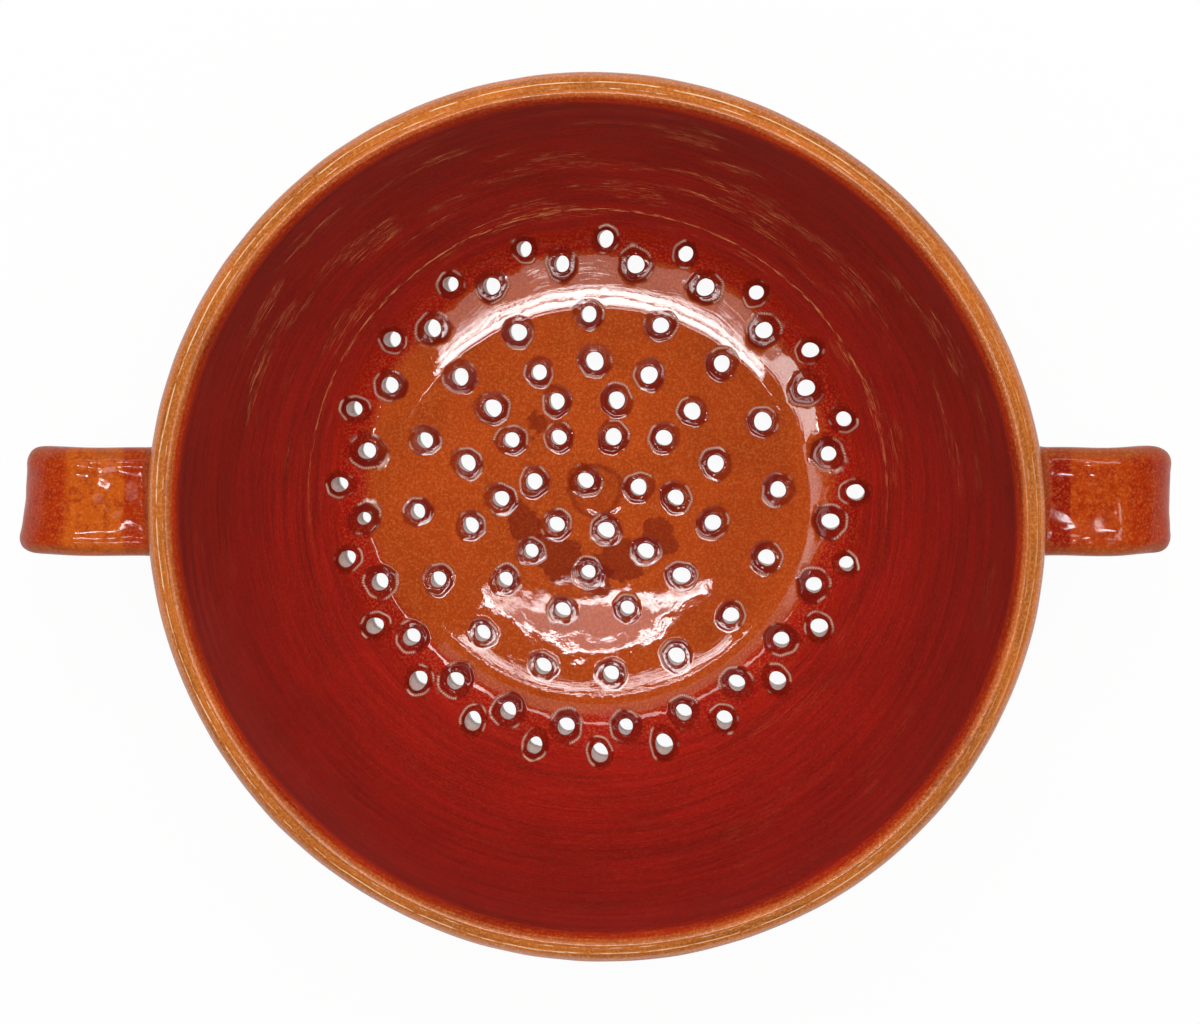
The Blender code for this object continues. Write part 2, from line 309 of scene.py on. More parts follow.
class StageSettings(bpy.types.PropertyGroup):
    """Camera, lamps and floor."""

    camera_height: length("Camera height", "Height of the camera above the floor", 0.630)
    camera_y: length("Camera Y", "Distance of the camera from the bowl's axis", 0.044)
    camera_x: length("Camera X", "Sideways place of the camera", 0.00095)
    camera_tilt: turn("Camera tilt", "Tilt of the camera towards +Y", -2.0)
    lens: FloatProperty(name="Lens", description="Focal length in millimetres", default=48.65)
    shift_x: FloatProperty(name="Shift X", description="Sideways shift of the frame", default=0.0)
    shift_y: FloatProperty(name="Shift Y", description="Upward shift of the frame", default=-0.0627)


class BowlSettings(bpy.types.PropertyGroup):
    """All settings of the bowl."""

    bowl: PointerProperty(type=BowlSizes)
    sieve: PointerProperty(type=SieveSizes)
    handle: PointerProperty(type=HandleSizes)
    colours: PointerProperty(type=GlazeColours)
    stage: PointerProperty(type=StageSettings)


def waves(points, size, seed, count=24):
    """Smooth uneven relief with swells of about this size and a height of about one."""
    random = np.random.default_rng(seed)
    heading = random.normal(size=(count, points.shape[1]))
    heading /= np.linalg.norm(heading, axis=1)[:, None]
    pitch = math.tau / size * random.uniform(0.6, 1.5, count)
    start = random.uniform(0.0, math.tau, count)
    return np.sin(points @ (heading * pitch[:, None]).T + start).sum(1) * math.sqrt(2.0 / count)


def smooth(value, low, high):
    """Eases from 0 at low to 1 at high."""
    ease = np.clip((value - low) / (high - low), 0.0, 1.0)
    return ease * ease * (3.0 - 2.0 * ease)


def on_circle(radius, bearing):
    return np.stack([radius * np.cos(bearing), radius * np.sin(bearing)], -1)


def polar(points):
    return np.hypot(points[:, 0], points[:, 1]), np.arctan2(points[:, 1], points[:, 0])


class ClayOutline:
    """The bowl's outline, measured along the inside from the middle of the floor."""

    def __init__(self, sizes):
        self.sizes = sizes
        first = sizes.corner_slope
        self.rim_inside = sizes.rim_radius - sizes.overhang - sizes.wall
        foot_radius = sizes.flat + sizes.corner * math.sin(first)
        foot_height = sizes.floor + sizes.corner * (1.0 - math.cos(first))
        rise = sizes.height - sizes.roll_inside - foot_height
        run = self.rim_inside - foot_radius
        last = 2.0 * math.atan2(rise, run) - first
        self.side = math.hypot(run, rise) / (2.0 * math.sin((last - first) / 2.0))
        self.side_radius = foot_radius - self.side * math.sin(first)
        self.side_height = foot_height + self.side * math.cos(first)
        self.corner_end = sizes.flat + sizes.corner * first
        self.seam = self.corner_end + self.side * (last - first)
        self.seat = sizes.flat - sizes.seat_lip
        paths = np.linspace(0.0, self.seam, 4000)
        self.paths = paths
        self.under_radius, self.under_height, _ = self.outside(paths)
        steps = np.hypot(np.diff(self.under_radius), np.diff(self.under_height))
        self.under_run = np.concatenate([[0.0], np.cumsum(steps)])
        self.seam_outside = np.interp(
            sizes.height - sizes.roll_outside, self.under_height, paths
        )
        self.rim = self.rim_rows()
        self.whole = self.rim[-1, 4] + np.interp(self.seam_outside, paths, self.under_run)

    def inside(self, path):
        """Radius, height and slope of the inside."""
        sizes = self.sizes
        slope = np.where(
            path < self.corner_end,
            np.clip((path - sizes.flat) / sizes.corner, 0.0, None),
            sizes.corner_slope + (path - self.corner_end) / self.side,
        )
        corner_radius = np.minimum(path, sizes.flat) + sizes.corner * np.sin(slope)
        corner_height = sizes.floor + sizes.corner * (1.0 - np.cos(slope))
        on_side = path >= self.corner_end
        radius = np.where(on_side, self.side_radius + self.side * np.sin(slope), corner_radius)
        height = np.where(on_side, self.side_height - self.side * np.cos(slope), corner_height)
        return radius, height, slope

    def outside(self, path):
        """Radius, height and slope of the outside, straight through the clay from the inside."""
        sizes = self.sizes
        radius, height, slope = self.inside(path)
        eased = np.clip(slope / sizes.corner_slope, 0.0, 1.0)
        thickness = sizes.floor + (sizes.wall - sizes.floor) * eased
        return radius + thickness * np.sin(slope), height - thickness * np.cos(slope), slope

    def run_outside(self, path):
        """Distance over the rim to a point of the outside."""
        return self.whole - np.interp(path, self.paths, self.under_run)

    def rim_rows(self, step=0.00040):
        """Rows of the rolled rim as radius, height, normal and distance, from seam to seam."""
        sizes = self.sizes
        foot, _, _ = self.outside(np.array([self.seam_outside]))
        knots = [(self.rim_inside, sizes.height - sizes.roll_inside)]
        knots += [(self.rim_inside + across, sizes.height - down) for across, down in RIM_SECTION]
        knots += [(foot[0], sizes.height - sizes.roll_outside)]
        knots = np.array(knots)
        line = rounded_line(knots)
        rows, even = even_rows(line, lambda whole: int(whole / step) + 1)
        return np.column_stack([rows, row_normals(rows), self.seam + even])


def rounded_line(knots, steps=14):
    """Smooth line through the knots."""
    ends = np.concatenate([[2.0 * knots[0] - knots[1]], knots, [2.0 * knots[-1] - knots[-2]]])
    share_along = np.arange(steps)[:, None] / steps
    line = []
    for before, start, end, after in zip(ends, ends[1:], ends[2:], ends[3:]):
        line.append(
            start
            + 0.5
            * share_along
            * (
                (end - before)
                + share_along
                * (
                    (2.0 * before - 5.0 * start + 4.0 * end - after)
                    + share_along * (3.0 * (start - end) + after - before)
                )
            )
        )
    return np.concatenate([*line, knots[-1:]])


def row_normals(rows):
    """Normals of a run of (radius, height) points, facing the clay's open side."""
    tangent = np.gradient(rows, axis=0)
    tangent /= np.linalg.norm(tangent, axis=1)[:, None]
    return np.stack([-tangent[:, 1], tangent[:, 0]], 1)


class PunchedHole:
    """One hole: its place on the unrolled floor and the clay and glaze heaped round it."""

    def __init__(self, place, slope, sizes, seed):
        random = np.random.default_rng(HOLE_SEED + seed)
        self.place = place
        self.outward = place / max(np.linalg.norm(place), 1e-9)
        self.stretch = min(1.0 / math.cos(slope), 1.45)
        self.radius = sizes.radius * (1.0 + 0.05 * random.normal())
        self.lip = sizes.lip
        self.level = math.cos(slope)
        steep = 1.0 - self.level
        self.height = sizes.bead * random.uniform(0.75, 1.3) * (1.0 + 1.1 * steep)
        spread = 1.0 if steep == 0.0 else 1.30 - 1.2 * steep
        self.width = sizes.bead_width * random.uniform(0.88, 1.14) * spread
        self.edge = sizes.bead_edge * random.uniform(0.85, 1.25) * (1.0 - 0.3 * steep)
        self.heaped = random.normal() * 0.5 + (math.pi if self.level > 0.7 else 0.0)
        self.even = min(0.08 + 4.0 * steep, 0.5)
        # Strength of the painted highlight along the bead's edge.
        self.painted_glint = 0.75 if steep == 0.0 else 0.95
        self.phases = random.uniform(0.0, math.tau, 16)
        self.burr = sizes.burr * random.uniform(0.4, 1.5)
        self.flaps = [
            (
                self.heaped + random.normal() * 0.7 + math.pi * (random.random() < 0.75),
                random.uniform(0.0002, 0.0016),
                random.uniform(0.00015, 0.00045),
                random.uniform(0.00025, 0.00055),
                random.uniform(0.0005, 0.0015),
            )
            for _ in range(random.integers(1, 5))
        ]

    def around(self, points):
        """Distance from the hole's middle, measured as if it were round, and bearing."""
        away = points - self.place
        side = np.array([-self.outward[1], self.outward[0]])
        along = away @ self.outward / self.stretch
        across = away @ side
        return np.hypot(along, across), np.arctan2(across, along)

    def uneven(self, bearing):
        """How the hole's outline departs from round."""
        oval = 0.035 * np.sin(2.0 * bearing + self.phases[0])
        return 1.0 + oval + 0.02 * np.sin(3.0 * bearing + self.phases[1])

    def ring(self, distance, count, twist):
        """Points of the unrolled floor at a distance outside the hole's edge."""
        bearing = math.tau * (np.arange(count) + twist) / count
        reach = self.radius * self.uneven(bearing) + distance
        side = np.array([-self.outward[1], self.outward[0]])
        along = reach * np.cos(bearing) * self.stretch
        return self.place + np.outer(along, self.outward) + np.outer(reach * np.sin(bearing), side)

    def relief(self, points):
        """Height of the clay, and how far glaze has gathered with painted shade on the heaped side,
        clay is torn and a painted highlight runs along the bead's edge.
        """
        reach, bearing = self.around(points)
        past = reach - self.radius * self.uneven(bearing)
        phase = self.phases
        width = self.width * (
            1.0
            + 0.09 * np.sin(2.0 * bearing + phase[2])
            + 0.06 * np.sin(3.0 * bearing + phase[3])
            + 0.04 * np.sin(7.0 * bearing + phase[4])
        )
        side = 0.5 + 0.5 * np.cos(bearing - self.heaped)
        heap = self.even + (1.0 - self.even) * side
        relief = self.height * heap * smooth(past, width, width - self.edge)
        relief -= self.height * 0.12 * side * smooth(past, 0.0018, 0.0005)
        jagged = sum(
            np.sin(order * bearing + phase[5 + place])
            for place, order in enumerate((2, 3, 5, 8, 11))
        )
        ridge = np.exp(-(((past - 0.00055) / 0.00032) ** 2))
        relief += self.burr * np.clip(jagged * 0.5, 0.0, 1.3) * ridge
        for turned, distance, height, size, spread in self.flaps:
            around = (self.radius + distance) * np.angle(np.exp(1j * (bearing - turned)))
            relief += height * np.exp(-(((past - distance) / size) ** 2) - (around / spread) ** 2)
        inset = np.clip(1.0 - past / self.lip, 0.0, 1.0)
        relief -= self.lip * (1.0 - np.sqrt(1.0 - inset**2))
        # Glaze gathered over the whole bead, and a deeper crescent of painted shade on its heaped
        # side.
        pooled_and_shaded = 0.60 * smooth(past, width + 0.0005, width - 0.0002)
        pooled_and_shaded += 0.40 * side * smooth(past, width - 0.0002, width - 0.0007)
        torn = smooth(past, 0.0015, 0.0006) * (1.0 - 0.5 * side)
        arcs = sum(
            weight * np.sin(order * bearing + phase[10 + order])
            for order, weight in ((1, 1.0), (2, 0.7), (5, 0.45))
        )
        # Painted highlight: a pale line along the bead's steep edge and a broken one halfway to the
        # hole.
        crest = np.exp(-(((past - width + 0.45 * self.edge) / 0.00022) ** 2))
        crest += 0.7 * np.exp(-(((past - 0.45 * width) / 0.00018) ** 2)) * smooth(-arcs, 0.3, 0.8)
        crest = crest * smooth(arcs, -0.1, 0.5) * self.painted_glint
        return relief, pooled_and_shaded * (0.6 + 0.4 * self.level), torn, crest


def ring_bearings(count, first, sway, sway_start):
    """Bearings of a ring of holes, spaced by eye and so a little uneven."""
    even = np.arange(count) * 360.0 / count
    return np.radians(first + even + sway * np.sin(np.radians(even + sway_start)))


def punched_holes(outline, sizes):
    """Every hole, those of the level floor first, and how many of them are on it."""
    last = outline.sizes.flat - sizes.margin
    drift = np.array([sizes.drift_x, sizes.drift_y]) * last
    places = [drift]
    slopes = [0.0]
    for part, count, first, sway, sway_start in FLOOR_RINGS:
        ring = on_circle(last * part, ring_bearings(count, first, sway, sway_start))
        places.extend(ring + drift * (1.0 - part**2))
        slopes.extend([0.0] * count)
    level = len(places)
    for slope, count, first, sway, sway_start in CORNER_RINGS:
        path = outline.sizes.flat + outline.sizes.corner * math.radians(slope)
        places.extend(on_circle(path, ring_bearings(count, first, sway, sway_start)))
        slopes.extend([math.radians(slope)] * count)
    holes = [
        PunchedHole(place, slope, sizes, seed)
        for seed, (place, slope) in enumerate(zip(places, slopes))
    ]
    return holes, level


def triangulate(points):
    """Triangles between points of the unrolled floor."""
    made = delaunay_2d_cdt([Vector(point) for point in points], [], [], 0, 1e-8, False)
    if len(made[0]) != len(points):
        raise RuntimeError("points of the floor fell together")
    return np.array(made[2])


def hex_points(reach, spacing):
    """Points of a honeycomb inside a circle."""
    count = int(reach / spacing) + 2
    column, row = np.meshgrid(np.arange(-count, count + 1), np.arange(-count, count + 1))
    points = np.stack(
        [(column + 0.5 * (row % 2)) * spacing, row * spacing * math.sqrt(0.75)], -1
    ).reshape(-1, 2)
    return points[np.linalg.norm(points, axis=1) < reach]


def add_layers(mesh, layers):
    """Gives a mesh one number at each point for each named layer, for its glaze."""
    for name, values in layers.items():
        layer = mesh.attributes.new(name, "FLOAT", "POINT")
        layer.data.foreach_set("value", values.astype(np.float32))


def even_rows(line, count):
    """Points spaced evenly along a line, and their distances along it."""
    along = np.concatenate([[0.0], np.cumsum(np.linalg.norm(np.diff(line, axis=0), axis=1))])
    even = np.linspace(0.0, along[-1], count(along[-1]))
    rows = np.stack([np.interp(even, along, line[:, axis]) for axis in (0, 1)], 1)
    return rows, even


class ClayBody:
    """Points and faces of the whole body, from which each piece takes its share."""

    # The crest layer marks where a painted highlight runs along the beads' edges.
    LAYERS = ("run", "pool", "torn", "crest")

    def __init__(self):
        self.points = []
        self.layers = {name: [] for name in self.LAYERS}
        self.count = 0
        self.faces = []

    def add_points(self, points, run, pool, torn=0.0, crest=0.0):
        first = self.count
        self.points.append(points)
        for name, values in zip(self.LAYERS, (run, pool, torn, crest)):
            self.layers[name].append(np.broadcast_to(values, len(points)))
        self.count += len(points)
        return np.arange(first, self.count)

    def add_faces(self, faces, piece, hidden=False):
        self.faces.append((np.asarray(faces), piece, hidden))

    def add_strip(self, near, far, piece, hidden=False):
        """Faces between two rings that run the same way round."""
        self.add_faces(
            np.stack([near, far, np.roll(far, -1), np.roll(near, -1)], 1), piece, hidden
        )

    def finish(self, shape):
        self.points = shape(np.concatenate(self.points))
        self.layers = {name: np.concatenate(parts) for name, parts in self.layers.items()}
        self.normals = np.zeros_like(self.points)
        for faces, _, hidden in self.faces:
            if hidden:
                continue
            corners = self.points[faces]
            facing = np.cross(corners[:, 2] - corners[:, 0], corners[:, -1] - corners[:, 1])
            if faces.shape[1] == 3:
                facing = np.cross(corners[:, 1] - corners[:, 0], corners[:, 2] - corners[:, 0])
            for corner in range(faces.shape[1]):
                np.add.at(self.normals, faces[:, corner], facing)
        size = np.linalg.norm(self.normals, axis=1)[:, None]
        self.normals /= np.maximum(size, 1e-12)

    def mesh(self, piece):
        """Mesh of one piece, with the normals of the whole body so that no seam shows."""
        own = [faces for faces, name, _ in self.faces if name == piece]
        used, index = np.unique(np.concatenate([f.ravel() for f in own]), return_inverse=True)
        polygons = []
        start = 0
        for faces in own:
            polygons.extend(index[start : start + faces.size].reshape(faces.shape).tolist())
            start += faces.size
        mesh = bpy.data.meshes.new(piece)
        mesh.from_pydata(self.points[used].tolist(), [], polygons)
        add_layers(mesh, {name: values[used] for name, values in self.layers.items()})
        mesh.shade_smooth()
        mesh.normals_split_custom_set_from_vertices(self.normals[used].tolist())
        return mesh


def crease_path(bearing):
    """Where the wall rises out of the floor: further out on the far side than on the near one."""
    return CREASE + 0.0045 * np.sin(bearing) + 0.0007 * waves(on_circle(0.1, bearing), 0.030, 4)


def floor_relief(points, path, bowl):
    """Uneven clay of the floor: throwing rings, a boss in the middle, a soft rise and a crease."""
    _, bearing = polar(points)
    relief = 0.000008 * waves(points, 0.030, 1) + 0.000002 * waves(points, 0.007, 2)
    spiral = path / 0.0085 * math.tau - bearing + 0.8 * waves(points, 0.060, 3)
    relief += 0.000002 * np.sin(spiral) * smooth(path, 0.008, 0.022)
    boss = np.linalg.norm(points - np.array([0.002, 0.001]), axis=1)
    relief += 0.00012 * (1.0 - smooth(boss, 0.0075, 0.0100))
    start = 0.0741 - 0.00425 * np.sin(bearing) + 0.0019 * np.cos(2.0 * bearing)
    crease = crease_path(bearing)
    reach = np.minimum(path, crease)
    begun = np.clip((reach - start) / 0.006, 0.0, None)
    eased = np.minimum(begun, 1.0)
    rise = 0.16 * 0.006 * (eased**3 - eased**4 / 2.0 + np.maximum(begun - 1.0, 0.0))
    rise += 0.06 * np.clip(reach - start, 0.0, None) ** 2 / (crease - start)
    rise -= np.clip(reach - bowl.flat, 0.0, None) ** 2 / (2.0 * bowl.corner)
    relief += rise * (1.0 - smooth(path, crease, crease + 0.020))
    relief -= 0.00010 * (1.0 - np.sin(bearing)) * np.exp(-np.abs(path - crease) / 0.0018)
    return relief


def wall_relief(around, run, outline, sizes):
    """Throwing lines of the wall, ridges of the rim and lumps of both."""
    bearing = np.arctan2(around[:, 1], around[:, 0])
    place = np.column_stack([around * 0.13, run])
    inside = 1.0 - smooth(run, outline.seam - 0.004, outline.seam)
    outside = smooth(run, outline.rim[-1, 4], outline.rim[-1, 4] + 0.004)
    swell = waves(place, 0.085, 11)
    relief = 0.00015 * waves(place, 0.060, 12) * (0.4 + 0.6 * outside)
    spiral = run / 0.0062 * math.tau + bearing + 1.4 * swell
    relief += inside * 0.00006 * np.sin(spiral) * (1.0 + 0.6 * waves(place, 0.040, 13))
    spiral = run / 0.0088 * math.tau - bearing + 1.2 * swell
    relief += outside * sizes.throwing_lines * np.sin(spiral) * (1.0 + 0.5 * swell)
    rim = np.clip(1.0 - inside - outside, 0.0, 1.0)
    for line, depth in RIM_GROOVES:
        seed = GROOVE_SEED + int(line * 1e5)
        middle = outline.seam + line + 0.0003 * waves(around * 0.13, 0.12, seed)
        relief -= rim * depth * np.exp(-(((run - middle) / 0.00050) ** 2))
    relief += rim * 0.00004 * waves(place, 0.016, 15)
    return relief


def hole_rings(holes, outline, sieve):
    """Points of rings round the holes, the hole of each, which are on a mouth, and their reach."""
    turn_in = np.radians(np.array(LIP_TURNS))
    over_lip = sieve.lip * (1.0 - np.cos(turn_in))
    steps = np.concatenate([over_lip, sieve.lip + np.array(BEAD_ROWS) * 0.001])
    spokes = sieve.spokes
    points = np.concatenate(
        [
            hole.ring(step, spokes, 0.5 * (row % 2))
            for hole in holes
            for row, step in enumerate(steps)
        ]
    )
    owner = np.repeat(np.arange(len(holes)), len(steps) * spokes)
    on_mouth = np.tile(np.arange(len(steps) * spokes) < spokes, len(holes))
    nearness = np.stack([hole.around(points)[0] - hole.radius for hole in holes])
    kept = on_mouth | (nearness.argmin(0) == owner)
    kept &= np.abs(np.linalg.norm(points, axis=1) - outline.seat) > SEAT_GAP
    return points[kept], owner[kept], on_mouth[kept], steps[-1]


def open_mouths(triangles, tag):
    """Leaves out the triangles that close a hole: all their corners are on the same mouth."""
    tagged = tag[triangles]
    return triangles[~((tagged[:, 0] >= 0) & (tagged == tagged[:, :1]).all(1))]


def lay_out_sieve(outline, holes, sieve, columns, edge):
    """Points of the unrolled floor and corner, their triangles and the hole whose mouth each is on.

    The last points are the ring at the seat and the ring at the edge."""
    points, owner, on_mouth, reach = hole_rings(holes, outline, sieve)
    filling = hex_points(edge - sieve.grain * 0.6, sieve.grain)
    clear = np.min([hole.around(filling)[0] - hole.radius for hole in holes], axis=0)
    off_seat = np.abs(np.linalg.norm(filling, axis=1) - outline.seat) > sieve.grain * 0.5
    filling = filling[(clear > reach + sieve.grain * 0.7) & off_seat]
    circles = [on_circle(outline.seat, columns), on_circle(edge, columns)]
    planar = np.concatenate([points, filling, *circles])
    tag = np.full(len(planar), -1)
    tag[: len(points)][on_mouth] = owner[on_mouth]
    return planar, open_mouths(triangulate(planar), tag), tag


def raise_sieve(planar, outline, holes, bowl, edge):
    """The unrolled points as they lie in the bowl, their run, and their other layers."""
    path, bearing = polar(planar)
    radius, height, slope = outline.inside(path)
    fade = 1.0 - smooth(path, outline.corner_end - 0.004, edge)
    around = on_circle(1.0, bearing)
    relief = floor_relief(planar, path, bowl) * fade
    relief = relief + (1.0 - fade) * wall_relief(around, path, outline, bowl)
    layers = np.zeros((3, len(planar)))
    for hole in holes:
        near = np.linalg.norm(planar - hole.place, axis=1) < HOLE_REACH
        heap, *marks = hole.relief(planar[near])
        relief[near] += heap
        layers[:, near] = np.maximum(layers[:, near], marks)
    radius = radius - np.sin(slope) * relief
    height = height + np.cos(slope) * relief
    corner = smooth(path, 0.060, 0.078) * (1.0 - smooth(path, 0.100, 0.120))
    run = path - (crease_path(bearing) - CREASE) * corner
    return np.column_stack([around * radius[:, None], height]), run, layers


def bore_hole(body, hole, mouth, upper, ends, lower, piece, sieve):
    """Adds the inside of a hole, from its mouth down to where it comes out."""
    random = np.random.default_rng(BORE_SEED + hole)
    rough = random.normal(size=(len(BORE_ROWS), sieve.spokes)) * 0.00005
    previous = mouth
    for row, (part, bare) in enumerate(BORE_ROWS):
        line = upper + (lower - upper) * part
        centre = line.mean(0)
        line = centre + (line - centre) * (1.0 + rough[row] / 0.003)[:, None]
        ring = body.add_points(line, sieve.margin, bare)
        body.add_strip(ring, previous, piece)
        previous = ring
    body.add_strip(ends, previous, piece)


def throw_sieve(body, outline, holes, level, sieve, bowl):
    """Adds the punched floor and corner, inside and underneath, and returns their outer rings."""
    edge = outline.corner_end + SIEVE_PAST_CORNER
    columns = math.tau * np.arange(bowl.columns) / bowl.columns
    planar, triangles, tag = lay_out_sieve(outline, holes, sieve, columns, edge)
    placed, run, layers = raise_sieve(planar, outline, holes, bowl, edge)
    top = body.add_points(placed, run, *layers)
    middle = np.linalg.norm(planar[triangles].mean(1), axis=1)
    body.add_faces(top[triangles[middle < outline.seat]], "sieve_floor")
    body.add_faces(top[triangles[middle >= outline.seat]], "bowl_wall")

    mouths = [top[np.flatnonzero(tag == hole)] for hole in range(len(holes))]
    stick = np.array([math.tan(sieve.lean_x), math.tan(sieve.lean_y), 1.0])
    exits = [punch_through(placed[mouth], stick, outline, sieve.breakout) for mouth in mouths]
    below = throw_underside(body, outline, exits, edge, columns)
    for hole, mouth in enumerate(mouths):
        piece = "sieve_floor" if hole < level else "bowl_wall"
        ends, lower = below["exits"][hole], below["points"][hole]
        bore_hole(body, hole, mouth, placed[mouth], ends, lower, piece, sieve)
    seat_ring, edge_ring = top[-2 * bowl.columns : -bowl.columns], top[-bowl.columns :]
    body.add_strip(seat_ring, below["seat"], "sieve_floor", hidden=True)
    body.add_strip(below["seat"], seat_ring, "bowl_wall", hidden=True)
    return edge_ring, below["edge"], edge


def punch_through(mouth, stick, outline, breakout):
    """Where the lines down from a hole's mouth leave the clay, on the unrolled underside."""
    depth = np.linspace(0.002, 0.045, 600)
    track = mouth[:, None, :] - depth[None, :, None] * stick
    reach = np.hypot(track[..., 0], track[..., 1])
    over = track[..., 2] - np.interp(reach, outline.under_radius, outline.under_height)
    last = np.argmax(over <= 0.0, axis=1)
    if (last == 0).any():
        raise RuntimeError("a hole does not come out of the clay")
    rows = np.arange(len(mouth))
    part = over[rows, last - 1] / (over[rows, last - 1] - over[rows, last])
    leave = depth[last - 1] + (depth[last] - depth[last - 1]) * part
    ends = mouth - leave[:, None] * stick
    radius, bearing = polar(ends)
    ends = on_circle(np.interp(radius, outline.under_radius, outline.paths), bearing)
    middle = ends.mean(0)
    return middle + (ends - middle) * (1.0 + breakout)


def throw_underside(body, outline, exits, edge, columns):
    """Adds the underside of the sieve and returns its rings."""
    spokes = len(exits[0])
    middles = np.array([ends.mean(0) for ends in exits])
    wide = [middle + (ends - middle) * EXIT_RING for ends, middle in zip(exits, middles)]
    filling = hex_points(edge - 0.002, UNDER_GRAIN)
    clear = np.linalg.norm(filling[:, None] - middles[None], axis=2).min(1)
    seat = outline.seat - outline.sizes.seat_taper
    off_seat = np.abs(np.linalg.norm(filling, axis=1) - seat) > UNDER_SEAT_GAP
    filling = filling[(clear > EXIT_CLEAR) & off_seat]
    circles = np.concatenate([on_circle(seat, columns), on_circle(edge, columns)])
    planar = np.concatenate([*exits, *wide, filling, circles])
    tag = np.full(len(planar), -1)
    tag[: len(exits) * spokes] = np.repeat(np.arange(len(exits)), spokes)
    triangles = open_mouths(triangulate(planar), tag)
    path, bearing = polar(planar)
    radius, height, slope = outline.outside(path)
    around = on_circle(1.0, bearing)
    lumps = 0.00018 * waves(np.column_stack([planar, height]), 0.018, 21)
    lumps = lumps * smooth(path, 0.080, 0.092)
    radius = radius + np.sin(slope) * lumps
    height = np.maximum(height - np.cos(slope) * lumps, 0.0)
    placed = np.column_stack([around * radius[:, None], height])
    index = body.add_points(placed, outline.run_outside(path), 0.0)
    middle = np.linalg.norm(planar[triangles].mean(1), axis=1)
    flipped = triangles[:, ::-1]
    body.add_faces(index[flipped[middle < seat]], "sieve_floor")
    body.add_faces(index[flipped[middle >= seat]], "bowl_wall")
    count = len(columns)
    return {
        "exits": [index[hole * spokes : (hole + 1) * spokes] for hole in range(len(exits))],
        "points": [placed[hole * spokes : (hole + 1) * spokes] for hole in range(len(exits))],
        "seat": index[-2 * count : -count],
        "edge": index[-count:],
    }


def throw_wall(body, outline, inner_ring, outer_ring, edge, bowl):
    """Adds the wall and the rolled rim, from the sieve's edge over the rim and down again."""
    columns = math.tau * np.arange(bowl.columns) / bowl.columns
    around = on_circle(1.0, columns)
    up = np.linspace(edge, outline.seam, 54)[1:-1]
    radius, height, slope = outline.inside(up)
    inner = np.column_stack([radius, height, -np.sin(slope), np.cos(slope), up])
    down = np.linspace(outline.seam_outside, edge, 32)[1:-1]
    radius, height, slope = outline.outside(down)
    outer = np.column_stack(
        [radius, height, np.sin(slope), -np.cos(slope), outline.run_outside(down)]
    )
    rings = []
    for row in np.concatenate([inner, outline.rim, outer]):
        relief = wall_relief(around, np.full(len(around), row[4]), outline, bowl)
        placed = np.column_stack(
            [around * (row[0] + row[2] * relief)[:, None], row[1] + row[3] * relief]
        )
        rings.append(body.add_points(placed, row[4], 0.0))
    first, last = len(inner), len(inner) + len(outline.rim) - 1
    chain = [inner_ring, *rings, outer_ring]
    for place, (near, far) in enumerate(zip(chain, chain[1:])):
        on_rim = first + 1 <= place <= last
        body.add_strip(near, far, "rim_roll" if on_rim else "bowl_wall")
    body.add_strip(rings[last], rings[first], "rim_roll", hidden=True)
    body.add_strip(rings[first], rings[last], "bowl_wall", hidden=True)


def out_of_round(points, bowl):
    """The pull of the hands and the drying: the rim is a little longer one way than across."""
    height = np.clip(points[:, 2] / bowl.height, 0.0, 1.0)
    along = np.array([math.cos(bowl.long_axis), math.sin(bowl.long_axis)])
    across = np.array([-along[1], along[0]])
    pull = bowl.out_of_round * height**1.5
    flat = points[:, :2]
    moved = ((flat @ along) * (1.0 + pull))[:, None] * along + (
        (flat @ across) * (1.0 - pull)
    )[:, None] * across
    return np.column_stack([moved, points[:, 2]])


def add_piece(name, mesh, material, replaced):
    made = bpy.data.objects.new(name, mesh)
    bpy.context.scene.collection.objects.link(made)
    mesh.materials.append(material)
    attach(made, "root")
    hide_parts(*replaced)
    return made


def strap_stations(handle, outline, step=0.0011):
    """Middle line of a strap as (reach, height) rows, and their distances from its two roots."""
    bowl = outline.sizes
    level = bowl.height - handle.drop
    elbow = handle.reach - handle.thickness / 2.0 - handle.elbow
    angles = np.linspace(0.0, handle.elbow_turn, 80)
    bend = np.stack(
        [
            elbow + handle.elbow * np.sin(angles),
            level - handle.elbow + handle.elbow * np.cos(angles),
        ],
        1,
    )
    slant = math.pi - handle.elbow_turn
    back = np.array([-math.cos(slant), -math.sin(slant)])
    upper_wall = float(np.interp(level, outline.under_height, outline.under_radius))
    lower = bend[-1][None] + np.linspace(0.0, 0.09, 400)[:, None] * back
    gap = lower[:, 0] - np.interp(lower[:, 1], outline.under_height, outline.under_radius)
    inside = int(np.argmax(gap < 0.0))
    lower_end = lower[inside] + ROOT_DEPTH * back
    line = np.concatenate([[[upper_wall - ROOT_DEPTH, level]], bend, [lower_end]])
    rows, even = even_rows(line, lambda whole: int(whole / step))
    return rows, even - ROOT_DEPTH, even[-1] - ROOT_DEPTH - even


def strap_section(width, thickness, rounding):
    """Outline across a strap as (across, out) points, starting at its +across side."""
    arc = np.radians(np.arange(0.0, 90.1, 9.0))
    corner = np.stack([np.cos(arc), np.sin(arc)], 1) * rounding
    corner += np.array([width / 2.0 - rounding, thickness / 2.0 - rounding])
    flat = np.linspace(corner[-1, 0], -corner[-1, 0], 22)[1:-1]
    top = np.concatenate(
        [
            corner,
            np.stack([flat, np.full(len(flat), thickness / 2.0)], 1),
            corner[::-1] * [-1.0, 1.0],
        ]
    )
    return np.concatenate([top, top[::-1][1:-1] * [1.0, -1.0]])


